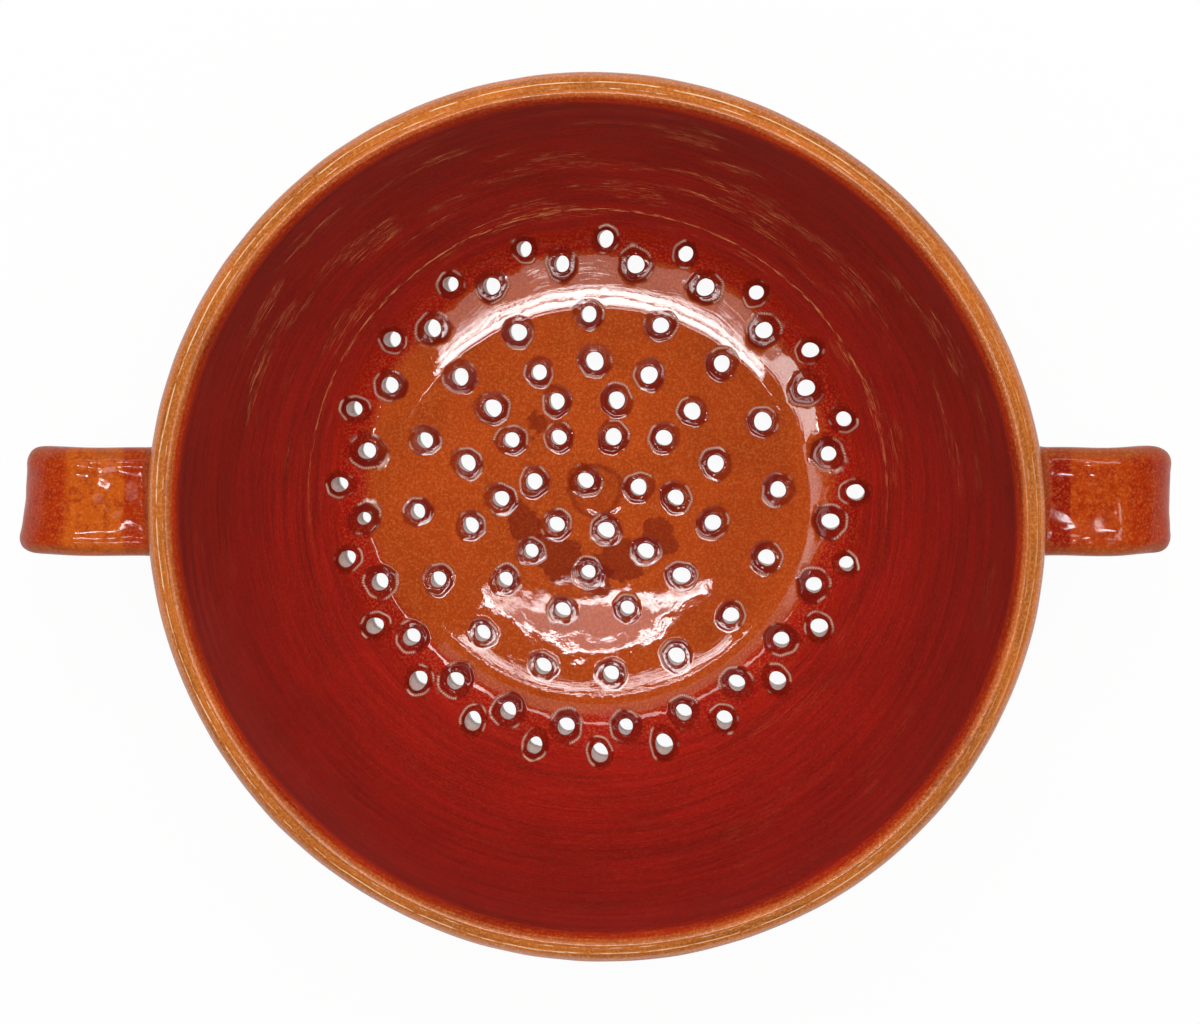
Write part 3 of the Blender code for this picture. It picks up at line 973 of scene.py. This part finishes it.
def build_ear(side, bearing, skew, lean, handle, outline, material):
    """One handle: a strap pulled from clay, bent and smeared on to the wall."""
    rows, from_upper, from_lower = strap_stations(handle, outline)
    tangent = np.gradient(rows, axis=0)
    tangent /= np.linalg.norm(tangent, axis=1)[:, None]
    normal = np.stack([-tangent[:, 1], tangent[:, 0]], 1)
    root = np.minimum(from_upper, from_lower)
    rest = np.clip(handle.flare - np.clip(root, 0.0, handle.flare), 0.0, None)
    flare = handle.flare - np.sqrt(handle.flare**2 - rest**2)
    section = strap_section(handle.width, handle.thickness, handle.rounding)
    count = len(section)
    half = handle.width / 2.0
    seed = EAR_SEEDS[side]
    free = smooth(np.minimum(from_upper, from_lower + 0.02), 0.0, 0.045)
    taper = 1.0 - handle.taper * smooth(from_upper, 0.045, 0.095)
    points, edge = [], []
    for row in range(len(rows)):
        smeared = flare[row] / handle.flare
        part = section[:, 0] / half
        upward = section[:, 1] > 0.0
        across = section[:, 0] * taper[row] + part * flare[row]
        spread = np.where(upward, min(flare[row], 0.0055), flare[row])
        out = section[:, 1] * (1.0 + spread / (handle.thickness / 2.0))
        lip = 0.5 * np.exp(-(((np.abs(part) - 0.70) / 0.10) ** 2)) - np.exp(-((part / 0.55) ** 2))
        on_top = section[:, 1] > 0.8 * handle.thickness / 2.0
        out = out + np.where(on_top, handle.dish * lip, 0.0) * (1.0 - smeared)
        station = np.column_stack([np.full(count, from_upper[row]), section])
        out = out + 0.00006 * waves(station, 0.010, seed)
        out = out + 0.00014 * waves(station, 0.035, seed + 10)
        across = across + 0.00016 * waves(station[:, :1], 0.040, seed + 20)
        near_wall = 1.0 - float(smooth(root[row], 0.0, 0.016))
        reach = rows[row, 0] + normal[row, 0] * out - near_wall * across**2 / 0.272
        reach = reach - skew * across * free[row]
        rise = rows[row, 1] + normal[row, 1] * out + lean * across * free[row]
        points.append(np.column_stack([reach, across, rise]))
        edge.append(smooth(np.abs(part), 0.72, 0.90) * (1.0 - smeared))
    points = np.concatenate(points)
    turned = np.radians(bearing)
    flat = np.column_stack(
        [
            points[:, 0] * math.cos(turned) - points[:, 1] * math.sin(turned),
            points[:, 0] * math.sin(turned) + points[:, 1] * math.cos(turned) + handle.offset,
        ]
    )
    radius, around = polar(flat)
    deepest = np.interp(points[:, 2], outline.under_height, outline.under_radius) - 0.004
    flat = on_circle(np.maximum(radius, deepest), around)
    placed = np.column_stack([flat, points[:, 2]])
    index = np.arange(len(placed)).reshape(len(rows), count)
    quads = []
    for near, far in zip(index, index[1:]):
        quads.extend(np.stack([near, far, np.roll(far, -1), np.roll(near, -1)], 1).tolist())
    quads.append(index[0].tolist())
    quads.append(index[-1][::-1].tolist())
    mesh = bpy.data.meshes.new(side + "_handle")
    mesh.from_pydata(placed.tolist(), [], quads)
    run, roots = np.repeat(from_upper, count), np.repeat(root, count)
    add_layers(mesh, {"run": run, "edge": np.concatenate(edge), "root": roots})
    mesh.shade_smooth()
    nodes = (side + "_handle_strap", side + "_upper_lute", side + "_lower_lute")
    return add_piece(side + "_handle", mesh, material, nodes)


class Signal:
    """A value in a shader, whose arithmetic adds nodes."""

    def __init__(self, bench, socket):
        self.bench = bench
        self.socket = socket

    def __add__(self, other):
        return self.bench.maths("ADD", self, other)

    def __sub__(self, other):
        return self.bench.maths("SUBTRACT", self, other)

    def __rsub__(self, other):
        return self.bench.maths("SUBTRACT", other, self)

    def __mul__(self, other):
        return self.bench.maths("MULTIPLY", self, other)

    def __abs__(self):
        return self.bench.maths("ABSOLUTE", self)

    def ease(self, low, high):
        """Eases from 0 at low to 1 at high."""
        return self.bench.value(
            "ShaderNodeMapRange",
            {"Value": self, "From Min": low, "From Max": high},
            interpolation_type="SMOOTHSTEP",
        )


class ShaderBench:
    """Adds shader nodes to one material or world."""

    def __init__(self, owner):
        owner.use_nodes = True
        self.tree = owner.node_tree
        self.tree.nodes.clear()

    def add(self, kind, inputs=None, **settings):
        node = self.tree.nodes.new(kind)
        for name, value in settings.items():
            setattr(node, name, value)
        for name, value in (inputs or {}).items():
            self.feed(node.inputs[name], value)
        return node

    def feed(self, socket, value):
        if isinstance(value, Signal):
            self.tree.links.new(value.socket, socket)
        else:
            socket.default_value = value

    def value(self, kind, inputs=None, output=0, **settings):
        """An output of a new node."""
        return Signal(self, self.add(kind, inputs, **settings).outputs[output])

    def attribute(self, name):
        return self.value("ShaderNodeAttribute", output="Fac", attribute_name=name)

    def place(self):
        return self.value("ShaderNodeTexCoord", output="Object")

    def axis(self, vector, number):
        return self.value("ShaderNodeSeparateXYZ", {0: vector}, number)

    def maths(self, operation, first, second=0.0):
        return self.value("ShaderNodeMath", {0: first, 1: second}, operation=operation)

    def vector(self, operation, first, second=(0.0, 0.0, 0.0), output=0):
        inputs = {0: first, 1: second}
        return self.value("ShaderNodeVectorMath", inputs, output, operation=operation)

    def noise(self, vector, scale, detail=2.0, roughness=0.5, distortion=0.0):
        inputs = {
            "Vector": vector,
            "Scale": scale,
            "Detail": detail,
            "Roughness": roughness,
            "Distortion": distortion,
        }
        return self.value("ShaderNodeTexNoise", inputs)

    def streaks(self, run, round_scale, run_scale, detail=2.0, roughness=0.5):
        """Noise that is stretched along the throwing lines."""
        heading = self.vector("NORMALIZE", self.vector("MULTIPLY", self.place(), (1.0, 1.0, 0.0)))
        heading = self.vector("MULTIPLY", heading, (round_scale,) * 3)
        upward = self.value("ShaderNodeCombineXYZ", {"Z": run * run_scale})
        return self.noise(self.vector("ADD", heading, upward), 1.0, detail, roughness)

    def mix(self, part, first, second):
        return self.value("ShaderNodeMix", {0: part, 6: first, 7: second}, 2, data_type="RGBA")

    def ramp(self, value, stops):
        node = self.add("ShaderNodeValToRGB", {"Fac": value})
        elements = node.color_ramp.elements
        while len(elements) < len(stops):
            elements.new(0.5)
        for element, (place, colour) in zip(elements, stops):
            element.position = place
            element.color = tuple(colour)
        return Signal(self, node.outputs[0])

    def bump(self, height, distance):
        return self.value(
            "ShaderNodeBump", {"Strength": 0.55, "Distance": distance, "Height": height}
        )

    def glow(self, brightness):
        white = {"Color": (1.0, 1.0, 1.0, 1.0), "Strength": brightness}
        return self.value("ShaderNodeEmission", white)

    def surface(self, shader, kind="ShaderNodeOutputMaterial"):
        self.feed(self.add(kind).inputs[0], shader)

    def finish(self, **inputs):
        """Ends the material with a glazed surface."""
        named = {name.replace("_", " "): value for name, value in inputs.items()}
        self.surface(self.value("ShaderNodeBsdfPrincipled", named))


class BodyGlaze:
    """Glaze of the body: orange floor, deep red wall, worn ochre rim and bare clay at the foot.

    Distances along the clay run from the middle of the floor over the rim to the foot."""

    def __init__(self, colours, outline):
        self.material = bpy.data.materials.new("bowl_glaze")
        self.bench = bench = ShaderBench(self.material)
        self.colours = colours
        self.rim = rim = outline.seam
        self.whole = outline.whole
        self.run = run = bench.attribute("run")
        self.pool = pool = bench.attribute("pool")
        self.place = bench.place()

        wander = bench.streaks(run, 1.6, 30.0)
        self.shifted = run + (wander - 0.5) * 0.003
        self.cloud = bench.noise(self.place, 38.0, 3.0, 0.55)
        self.grain = bench.noise(self.place, 1150.0, 2.0, 0.6)
        lined = run.ease(0.090, 0.110) * 0.75 + 0.25
        self.broad = (bench.streaks(run, 2.2, 260.0, 3.0, 0.6) - 0.5) * lined + 0.5
        self.fine = (bench.streaks(run, 3.5, 1500.0) - 0.5) * lined + 0.5

        on_wall = run.ease(0.092, 0.110) * run.ease(rim + 0.010, rim + 0.004)
        self.satin = on_wall * pool.ease(0.35, 0.05)
        self.worn = run.ease(rim + 0.007, rim + 0.011) * run.ease(rim + 0.026, rim + 0.020)
        self.lit_bore_paint = pool.ease(1.15, 1.7)
        drip = (bench.streaks(run, 6.0, 4.0) - 0.5) * 0.030
        self.bare = (run + drip).ease(self.whole - 0.114, self.whole - 0.1125)
        self.pale_streaked = self.pale_streaks()

        coloured = bench.mix(self.pale_streaked, self.toned(), colours.pale_streak)
        coloured = self.sand(self.paint_rim_glints(coloured))
        coloured = self.colour_beads_and_bores(self.stain_floor(coloured))
        coloured = self.bare_foot(coloured)
        dulled = bench.maths("MINIMUM", pool, 1.0) * -0.26 + 0.5
        bench.finish(
            Base_Color=coloured,
            Roughness=self.roughness(),
            Normal=bench.bump(self.relief(), 0.00010),
            IOR=1.6,
            Specular_IOR_Level=dulled,
        )

    def toned(self):
        """Colour of the glaze from floor to foot, with its streaks, clouds and grain."""
        colours, rim = self.colours, self.rim
        stops = (
            (0.000, colours.floor),
            (0.0865, colours.floor),
            # The wall darkens towards the rim: partly deeper glaze and partly painted shade of the
            # steep upper wall.
            (0.0910, colours.wall_low),
            (0.170, colours.wall_high),
            (rim + 0.0050, colours.wall_high),
            (rim + 0.0072, colours.wall_edge),
            (rim + 0.0092, colours.wall_edge),
            (rim + 0.0106, colours.rim),
            (rim + 0.0165, colours.rim),
            (rim + 0.0195, colours.rim_outside),
            (rim + 0.0260, colours.outside),
        )
        scaled = [(path / self.whole, colour) for path, colour in stops]
        base = self.bench.ramp(self.shifted * (1.0 / self.whole), scaled)
        tone = self.broad * 0.75 + self.fine * 1.05 + (self.cloud * 0.45 + self.grain * 0.55)
        return self.bench.vector("MULTIPLY", base, (tone - 1.40) * 1.1 + 1.0)

    def pale_streaks(self):
        """Pale flecked streaks on the wall and one pale ring, nearly all on the far side."""
        bench, run = self.bench, self.run
        far_side = bench.axis(self.place, 1).ease(-0.04, 0.08)
        fine_streak = bench.streaks(run, 9.0, 3600.0).ease(0.585, 0.61)
        spots = (bench.streaks(run, 3.2, 70.0, 1.0) + far_side * 0.09).ease(0.61, 0.68)
        flecked = bench.streaks(run, 30.0, 2600.0).ease(0.44, 0.52)
        pale_streaked = fine_streak * spots * flecked * (far_side * 0.85 + 0.15)
        broken = bench.streaks(run, 22.0, 2200.0).ease(0.51, 0.55)
        pale_ring = abs(self.shifted - 0.1185).ease(0.0008, 0.0005) * broken * far_side
        on_wall = run.ease(0.108, 0.116) * run.ease(self.rim + 0.001, self.rim - 0.012)
        return bench.maths("MAXIMUM", pale_streaked, pale_ring) * on_wall

    def paint_rim_glints(self, coloured):
        """Painted highlights: pale broken lines along the ridges of the rim, fainter on the +X
        side.
        """
        bench = self.bench
        kept = bench.axis(self.place, 0).ease(0.06, 0.12) * -0.5 + 0.75
        wavy = self.shifted + self.fine * 0.0006
        for ridge, width, level in PAINTED_RIM_GLINTS:
            on_ridge = abs(wavy - (self.rim + ridge)).ease(width, 0.4 * width)
            crumbled = bench.streaks(self.run, 15.0, 900.0, 4.0, 0.7).ease(level, level + 0.06)
            # Painted highlight along each ridge.
            coloured = bench.mix(on_ridge * crumbled * kept, coloured, self.colours.ridge)
        return coloured

    def sand(self, coloured):
        """Grains of sand, most on the rim and fewest on the wall."""
        sandy = self.run.ease(self.rim + 0.008, self.rim + 0.010) * 0.20 + 0.30
        specks = self.grain.ease(0.45, 0.72) * (sandy * (1.0 - self.satin * 0.75))
        return self.bench.mix(specks, coloured, self.colours.speck)

    def stain_floor(self, coloured):
        """Dark patches, the ring and tint of the boss, and a darker right half."""
        bench, dark = self.bench, self.colours.floor_pool_and_shade
        on_floor = self.run.ease(0.080, 0.070)
        flat = bench.vector("MULTIPLY", self.place, (1.0, 1.0, 0.0))
        ragged = (bench.noise(self.place, 110.0, 3.0, 0.55) - 0.5) * 0.016
        for x, y, reach in FLOOR_PATCHES:
            away = bench.vector("DISTANCE", flat, (x, y, 0.0), 1) + ragged
            stain = away.ease(reach + 0.0009, reach - 0.0003) * on_floor
            coloured = bench.mix(stain * 0.62, coloured, dark)
        x, y, reach = BOSS_RING
        away = bench.vector("DISTANCE", flat, (x, y, 0.0), 1)
        on_ring = abs(away + ragged * 0.3 - reach).ease(0.0016, 0.0004)
        coloured = bench.mix(on_ring * 0.5, coloured, dark)
        coloured = bench.mix(away.ease(reach, reach - 0.0010) * 0.16, coloured, dark)
        right = bench.axis(self.place, 0).ease(0.010, 0.050)
        return bench.mix(right * on_floor * 0.12, coloured, dark)

    def colour_beads_and_bores(self, coloured):
        """Dark pools round the holes, partly gathered glaze and partly painted shade, painted
        highlights along the beads' edges, and painted light inside the holes.
        """
        bench, colours = self.bench, self.colours
        # Glaze gathered round the beads, with painted shade on their heaped side.
        pooled_and_shaded = bench.maths("MINIMUM", self.pool * (self.cloud * 0.6 + 0.70), 0.9)
        coloured = bench.mix(pooled_and_shaded, coloured, colours.floor_pool_and_shade)
        # Painted highlight along the beads' edges.
        coloured = bench.mix(bench.attribute("crest") * 0.9, coloured, colours.painted_glint)
        # Painted light: near-white inside the holes.
        return bench.mix(self.lit_bore_paint, coloured, colours.lit_bore_paint)

    def bare_foot(self, coloured):
        """Dusty clay below the wavy edge of the glaze."""
        clay = self.colours.clay
        dust = [part * 0.72 for part in clay[:3]] + [1.0]
        dusty = self.bench.mix(self.grain.ease(0.35, 0.7), clay, dust)
        return self.bench.mix(self.bare, coloured, dusty)

    def roughness(self):
        outside = self.run.ease(self.rim + 0.026, self.rim + 0.032)
        matt = self.bench.maths("MAXIMUM", self.bare, self.lit_bore_paint)
        glaze = self.worn * 0.22 + 0.015 + self.satin * 0.45 + self.pale_streaked * 0.15
        return glaze + outside * 0.18 + matt * 0.80

    def relief(self):
        bench, run = self.bench, self.run
        streaked = run.ease(0.068, 0.078) * run.ease(0.094, 0.089)
        streaked = self.satin * 0.45 + streaked * 0.55
        height = bench.noise(self.place, 620.0, 2.0, 0.6) * 0.075 + self.fine * streaked
        height = height + self.grain * (self.worn * 0.5 + 0.004)
        height = height + self.bare * (self.grain * 1.2)
        crumbs = bench.noise(self.place, 430.0, 2.0, 0.55, 0.5).ease(0.53, 0.60)
        return height + bench.attribute("torn") * crumbs * 1.8


def handle_glaze(colours):
    """Glaze of the handles: mottled orange and red, darker at the roots, where a band of painted
    shade lies under the rim, worn along the edges.
    """
    material = bpy.data.materials.new("handle_glaze")
    bench = ShaderBench(material)
    run = bench.attribute("run")
    place = bench.place()
    cloud = bench.noise(place, 60.0, 3.0, 0.55)
    mottle = bench.noise(place, 330.0, 3.0, 0.65)
    grain = bench.noise(place, 1150.0, 2.0, 0.6)
    wander = run + (cloud - 0.5) * 0.005
    # From 0.008 to 0.014 the bend colour is painted shade where the strap runs under the rim.
    stops = (
        (0.000, colours.handle_root),
        (0.007, colours.handle_root),
        (0.008, colours.handle_bend_and_shade),
        (0.0140, colours.handle_bend_and_shade),
        (0.0150, colours.handle),
        (0.031, colours.handle),
        (0.034, colours.handle_bend_and_shade),
        (0.060, colours.handle_bend_and_shade),
    )
    per_metre = 12.5
    coloured = bench.ramp(wander * per_metre, [(at * per_metre, colour) for at, colour in stops])

    # The right handle gets a deeper band of painted shade, and past it the strap is darker and
    # redder than on the left.
    right = bench.axis(place, 0).ease(-0.05, 0.05)
    past_band = wander.ease(0.0140, 0.0150)
    band = wander.ease(0.0075, 0.0085) * (1.0 - past_band)
    coloured = bench.mix(right * band * 0.85, coloured, colours.handle_mottle_and_shade)
    coloured = bench.mix(right * past_band * 0.70, coloured, colours.handle_bend_and_shade)
    coloured = bench.mix(mottle.ease(0.46, 0.64) * 0.50, coloured, colours.handle_mottle_and_shade)
    wear = bench.attribute("edge") * cloud.ease(0.25, 0.60)
    coloured = bench.mix(wear * 0.75, coloured, colours.handle_edge)
    coloured = bench.mix(grain.ease(0.45, 0.72) * 0.22, coloured, colours.speck)
    coloured = bench.vector("MULTIPLY", coloured, (cloud + grain) * 0.24 + 0.76)

    height = bench.noise(place, 380.0) * 0.10 + grain * (wear * 0.4 + 0.05)
    rough_root = bench.attribute("root").ease(0.014, 0.004) * 1.6
    height = height + mottle * (rough_root + 0.06)
    bench.finish(
        Base_Color=coloured,
        Roughness=wear * 0.16 + 0.06 + run.ease(0.034, 0.044) * 0.22,
        Normal=bench.bump(height, 0.00012),
        IOR=1.45,
        Specular_IOR_Level=run.ease(0.032, 0.046) * -0.17 + 0.24,
    )
    return material


def seen_rays(bench):
    """1 for what is looked at, mirrored or seen through, 0 for what only lights the clay."""
    rays = bench.add("ShaderNodeLightPath")
    seen = 0.0
    for kind in ("Is Camera Ray", "Is Glossy Ray", "Is Transmission Ray"):
        seen = bench.maths("MAXIMUM", seen, Signal(bench, rays.outputs[kind]))
    return seen


def pale_floor():
    """White floor that keeps the bowl's shadow."""
    material = bpy.data.materials.new("pale_floor")
    bench = ShaderBench(material)
    paper = bench.value("ShaderNodeBsdfDiffuse", {"Color": (0.85, 0.85, 0.85, 1.0)})
    white = bench.glow(1.0)
    seen = seen_rays(bench)
    bench.surface(bench.value("ShaderNodeMixShader", {0: seen * 0.93, 1: paper, 2: white}))
    return material


def add_soft_lamp(name, size, place, brightness):
    """A large lamp that lights the clay evenly and isn't mirrored in the glaze."""
    lamp = bpy.data.lights.new(name, "AREA")
    lamp.shape = "SQUARE"
    lamp.size = size
    lamp.energy = brightness * math.pi * size**2
    made = bpy.data.objects.new(name, lamp)
    made.location = place
    made.rotation_euler = (-Vector(place)).to_track_quat("-Z", "Y").to_euler()
    made.visible_glossy = False
    bpy.context.scene.collection.objects.link(made)
    return made


def add_card(name, corners, brightness, stage, height=1.9):
    """A card overhead, given by where its mirror image falls on the level floor, in metres."""
    view = np.array([stage.camera_x, stage.camera_y])
    corners = np.array(corners)
    above = corners + (corners - view) * height / stage.camera_height
    mesh = bpy.data.meshes.new(name)
    mesh.from_pydata([(*corner, height) for corner in above], [], [range(len(above))])
    material = bpy.data.materials.new(name)
    bench = ShaderBench(material)
    bench.surface(bench.glow(brightness))
    mesh.materials.append(material)
    card = bpy.data.objects.new(name, mesh)
    card.visible_camera = False
    card.visible_diffuse = False
    card.visible_shadow = False
    bpy.context.scene.collection.objects.link(card)
    return card


def sector(inner, outer, start, end, steps=24):
    """Corners of part of a ring, with its bearings in degrees."""
    bearings = np.radians(np.linspace(start, end, steps + 1))
    return np.concatenate([on_circle(inner, bearings), on_circle(outer, bearings[::-1])])


def strip(line, width):
    """Corners of a band that follows a line and is this wide towards -Y."""
    return [*line, *[(x, y - width) for x, y in reversed(line)]]


def square(half):
    return [(-half, -half), (half, -half), (half, half), (-half, half)]


def gloss_cards():
    """Name, corners and brightness of the cards that the glaze mirrors."""
    cards = [
        ("window", sector(inner, outer, *WINDOW_BEARINGS), brightness)
        for inner, outer, brightness in WINDOW_PANES
    ]
    cards += [
        ("window_side", sector(0.135, 0.180, -159.0, WINDOW_BEARINGS[0]), 7.0),
        ("window_wall", sector(0.145, 0.190, *WINDOW_BEARINGS), 1.3),
        ("window_top", strip(WINDOW_TOP, 0.0055), 24.0),
        ("window_glow", WINDOW_TOP[::-1] + WINDOW_FOOT, 2.0),
        ("window_foot", strip(WINDOW_FOOT, 0.0018), 28.0),
        ("ceiling", sector(0.085, 0.175, 45.0, 163.0), 0.6),
        ("side_wall", sector(0.112, 0.142, 150.0, 201.0), 2.6),
        ("lamp_far", sector(0.245, 0.275, 60.0, 150.0), 5.0),
        ("lamp_side", sector(0.240, 0.275, 9.0, 60.0), 10.0),
    ]
    for x in GLINT_X:
        left, right = x - GLINT_HALF, x + GLINT_HALF
        for y in GLINT_Y:
            corners = [(left, y), (right, y), (right, y + GLINT_DEPTH), (left, y + GLINT_DEPTH)]
            cards.append(("handle_glint", corners, GLINT))
    return cards


class COUSCOUS_OT_body(bpy.types.Operator):
    """Throws the sieve floor, the wall and the rolled rim, punches and glazes them"""

    bl_idname = "couscous.body"
    bl_label = "Throw the Body"

    def execute(self, context):
        settings = context.scene.couscous_bowl
        outline = ClayOutline(settings.bowl)
        holes, level = punched_holes(outline, settings.sieve)
        body = ClayBody()
        inner, outer, edge = throw_sieve(body, outline, holes, level, settings.sieve, settings.bowl)
        throw_wall(body, outline, inner, outer, edge, settings.bowl)
        body.finish(lambda points: out_of_round(points, settings.bowl))
        glaze = BodyGlaze(settings.colours, outline).material
        for piece, slot in (
            ("sieve_floor", "floor_glaze"),
            ("bowl_wall", "wall_glaze"),
            ("rim_roll", "rim_glaze"),
        ):
            add_piece("glazed_" + piece, body.mesh(piece), glaze, (piece,))
        return {"FINISHED"}


class COUSCOUS_OT_handles(bpy.types.Operator):
    """Pulls the two ear handles, smears them on to the wall and glazes them"""

    bl_idname = "couscous.handles"
    bl_label = "Add the Handles"

    def execute(self, context):
        settings = context.scene.couscous_bowl
        outline = ClayOutline(settings.bowl)
        glaze = handle_glaze(settings.colours)
        for side, bearing, skew, lean in EARS:
            build_ear(side, bearing, skew, lean, settings.handle, outline, glaze)
        return {"FINISHED"}


class COUSCOUS_OT_stage(bpy.types.Operator):
    """Sets the pale floor, the lamp, the mirrored cards, the world and the camera"""

    bl_idname = "couscous.stage"
    bl_label = "Set the Stage"

    def execute(self, context):
        stage = context.scene.couscous_bowl.stage
        bpy.ops.mesh.primitive_plane_add(size=FLOOR_SIZE, location=(0.0, 0.0, -FLOOR_DROP))
        floor = context.object
        floor.name = "floor"
        floor.data.materials.append(pale_floor())

        add_soft_lamp("sky", SKY_SIZE, SKY_PLACE, SKY_LIGHT)
        add_card("room", square(ROOM_HALF), ROOM_LIGHT, stage, ROOM_HEIGHT)
        for name, corners, brightness in gloss_cards():
            add_card(name, corners, brightness, stage)

        world = bpy.data.worlds.new("room")
        context.scene.world = world
        bench = ShaderBench(world)
        sky = {"Color": (1.0, 1.0, 1.0, 1.0), "Strength": seen_rays(bench) * 0.40 + 0.60}
        bench.surface(bench.value("ShaderNodeBackground", sky), "ShaderNodeOutputWorld")

        view = bpy.data.cameras.new("camera")
        view.lens = stage.lens
        view.sensor_width = 36.0
        view.shift_x = stage.shift_x
        view.shift_y = stage.shift_y
        view.clip_start = 0.01
        camera = bpy.data.objects.new("camera", view)
        camera.location = (stage.camera_x, stage.camera_y, stage.camera_height)
        camera.rotation_euler = (stage.camera_tilt, 0.0, 0.0)
        context.scene.collection.objects.link(camera)
        context.scene.camera = camera
        context.scene.view_settings.view_transform = "Standard"
        return {"FINISHED"}


class COUSCOUS_PT_panel(bpy.types.Panel):
    """Sizes, colours and pieces of the bowl"""

    bl_label = "Couscous Bowl"
    bl_idname = "COUSCOUS_PT_panel"
    bl_space_type = "VIEW_3D"
    bl_region_type = "UI"
    bl_category = "Couscous Bowl"

    def draw(self, context):
        settings = context.scene.couscous_bowl
        for title in ("bowl", "sieve", "handle", "colours", "stage"):
            box = self.layout.box()
            box.label(text=title.capitalize())
            group = getattr(settings, title)
            for name in group.__annotations__:
                box.prop(group, name)
        for operator in (COUSCOUS_OT_body, COUSCOUS_OT_handles, COUSCOUS_OT_stage):
            self.layout.operator(operator.bl_idname)


CLASSES = (
    BowlSizes,
    SieveSizes,
    HandleSizes,
    GlazeColours,
    StageSettings,
    BowlSettings,
    COUSCOUS_OT_body,
    COUSCOUS_OT_handles,
    COUSCOUS_OT_stage,
    COUSCOUS_PT_panel,
)


def register():
    for entry in CLASSES:
        bpy.utils.register_class(entry)
    bpy.types.Scene.couscous_bowl = PointerProperty(type=BowlSettings)


def unregister():
    del bpy.types.Scene.couscous_bowl
    for entry in reversed(CLASSES):
        bpy.utils.unregister_class(entry)


def main():
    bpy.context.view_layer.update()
    register()
    bpy.ops.couscous.body()
    bpy.ops.couscous.handles()
    bpy.ops.couscous.stage()


if __name__ == "__main__":
    main()
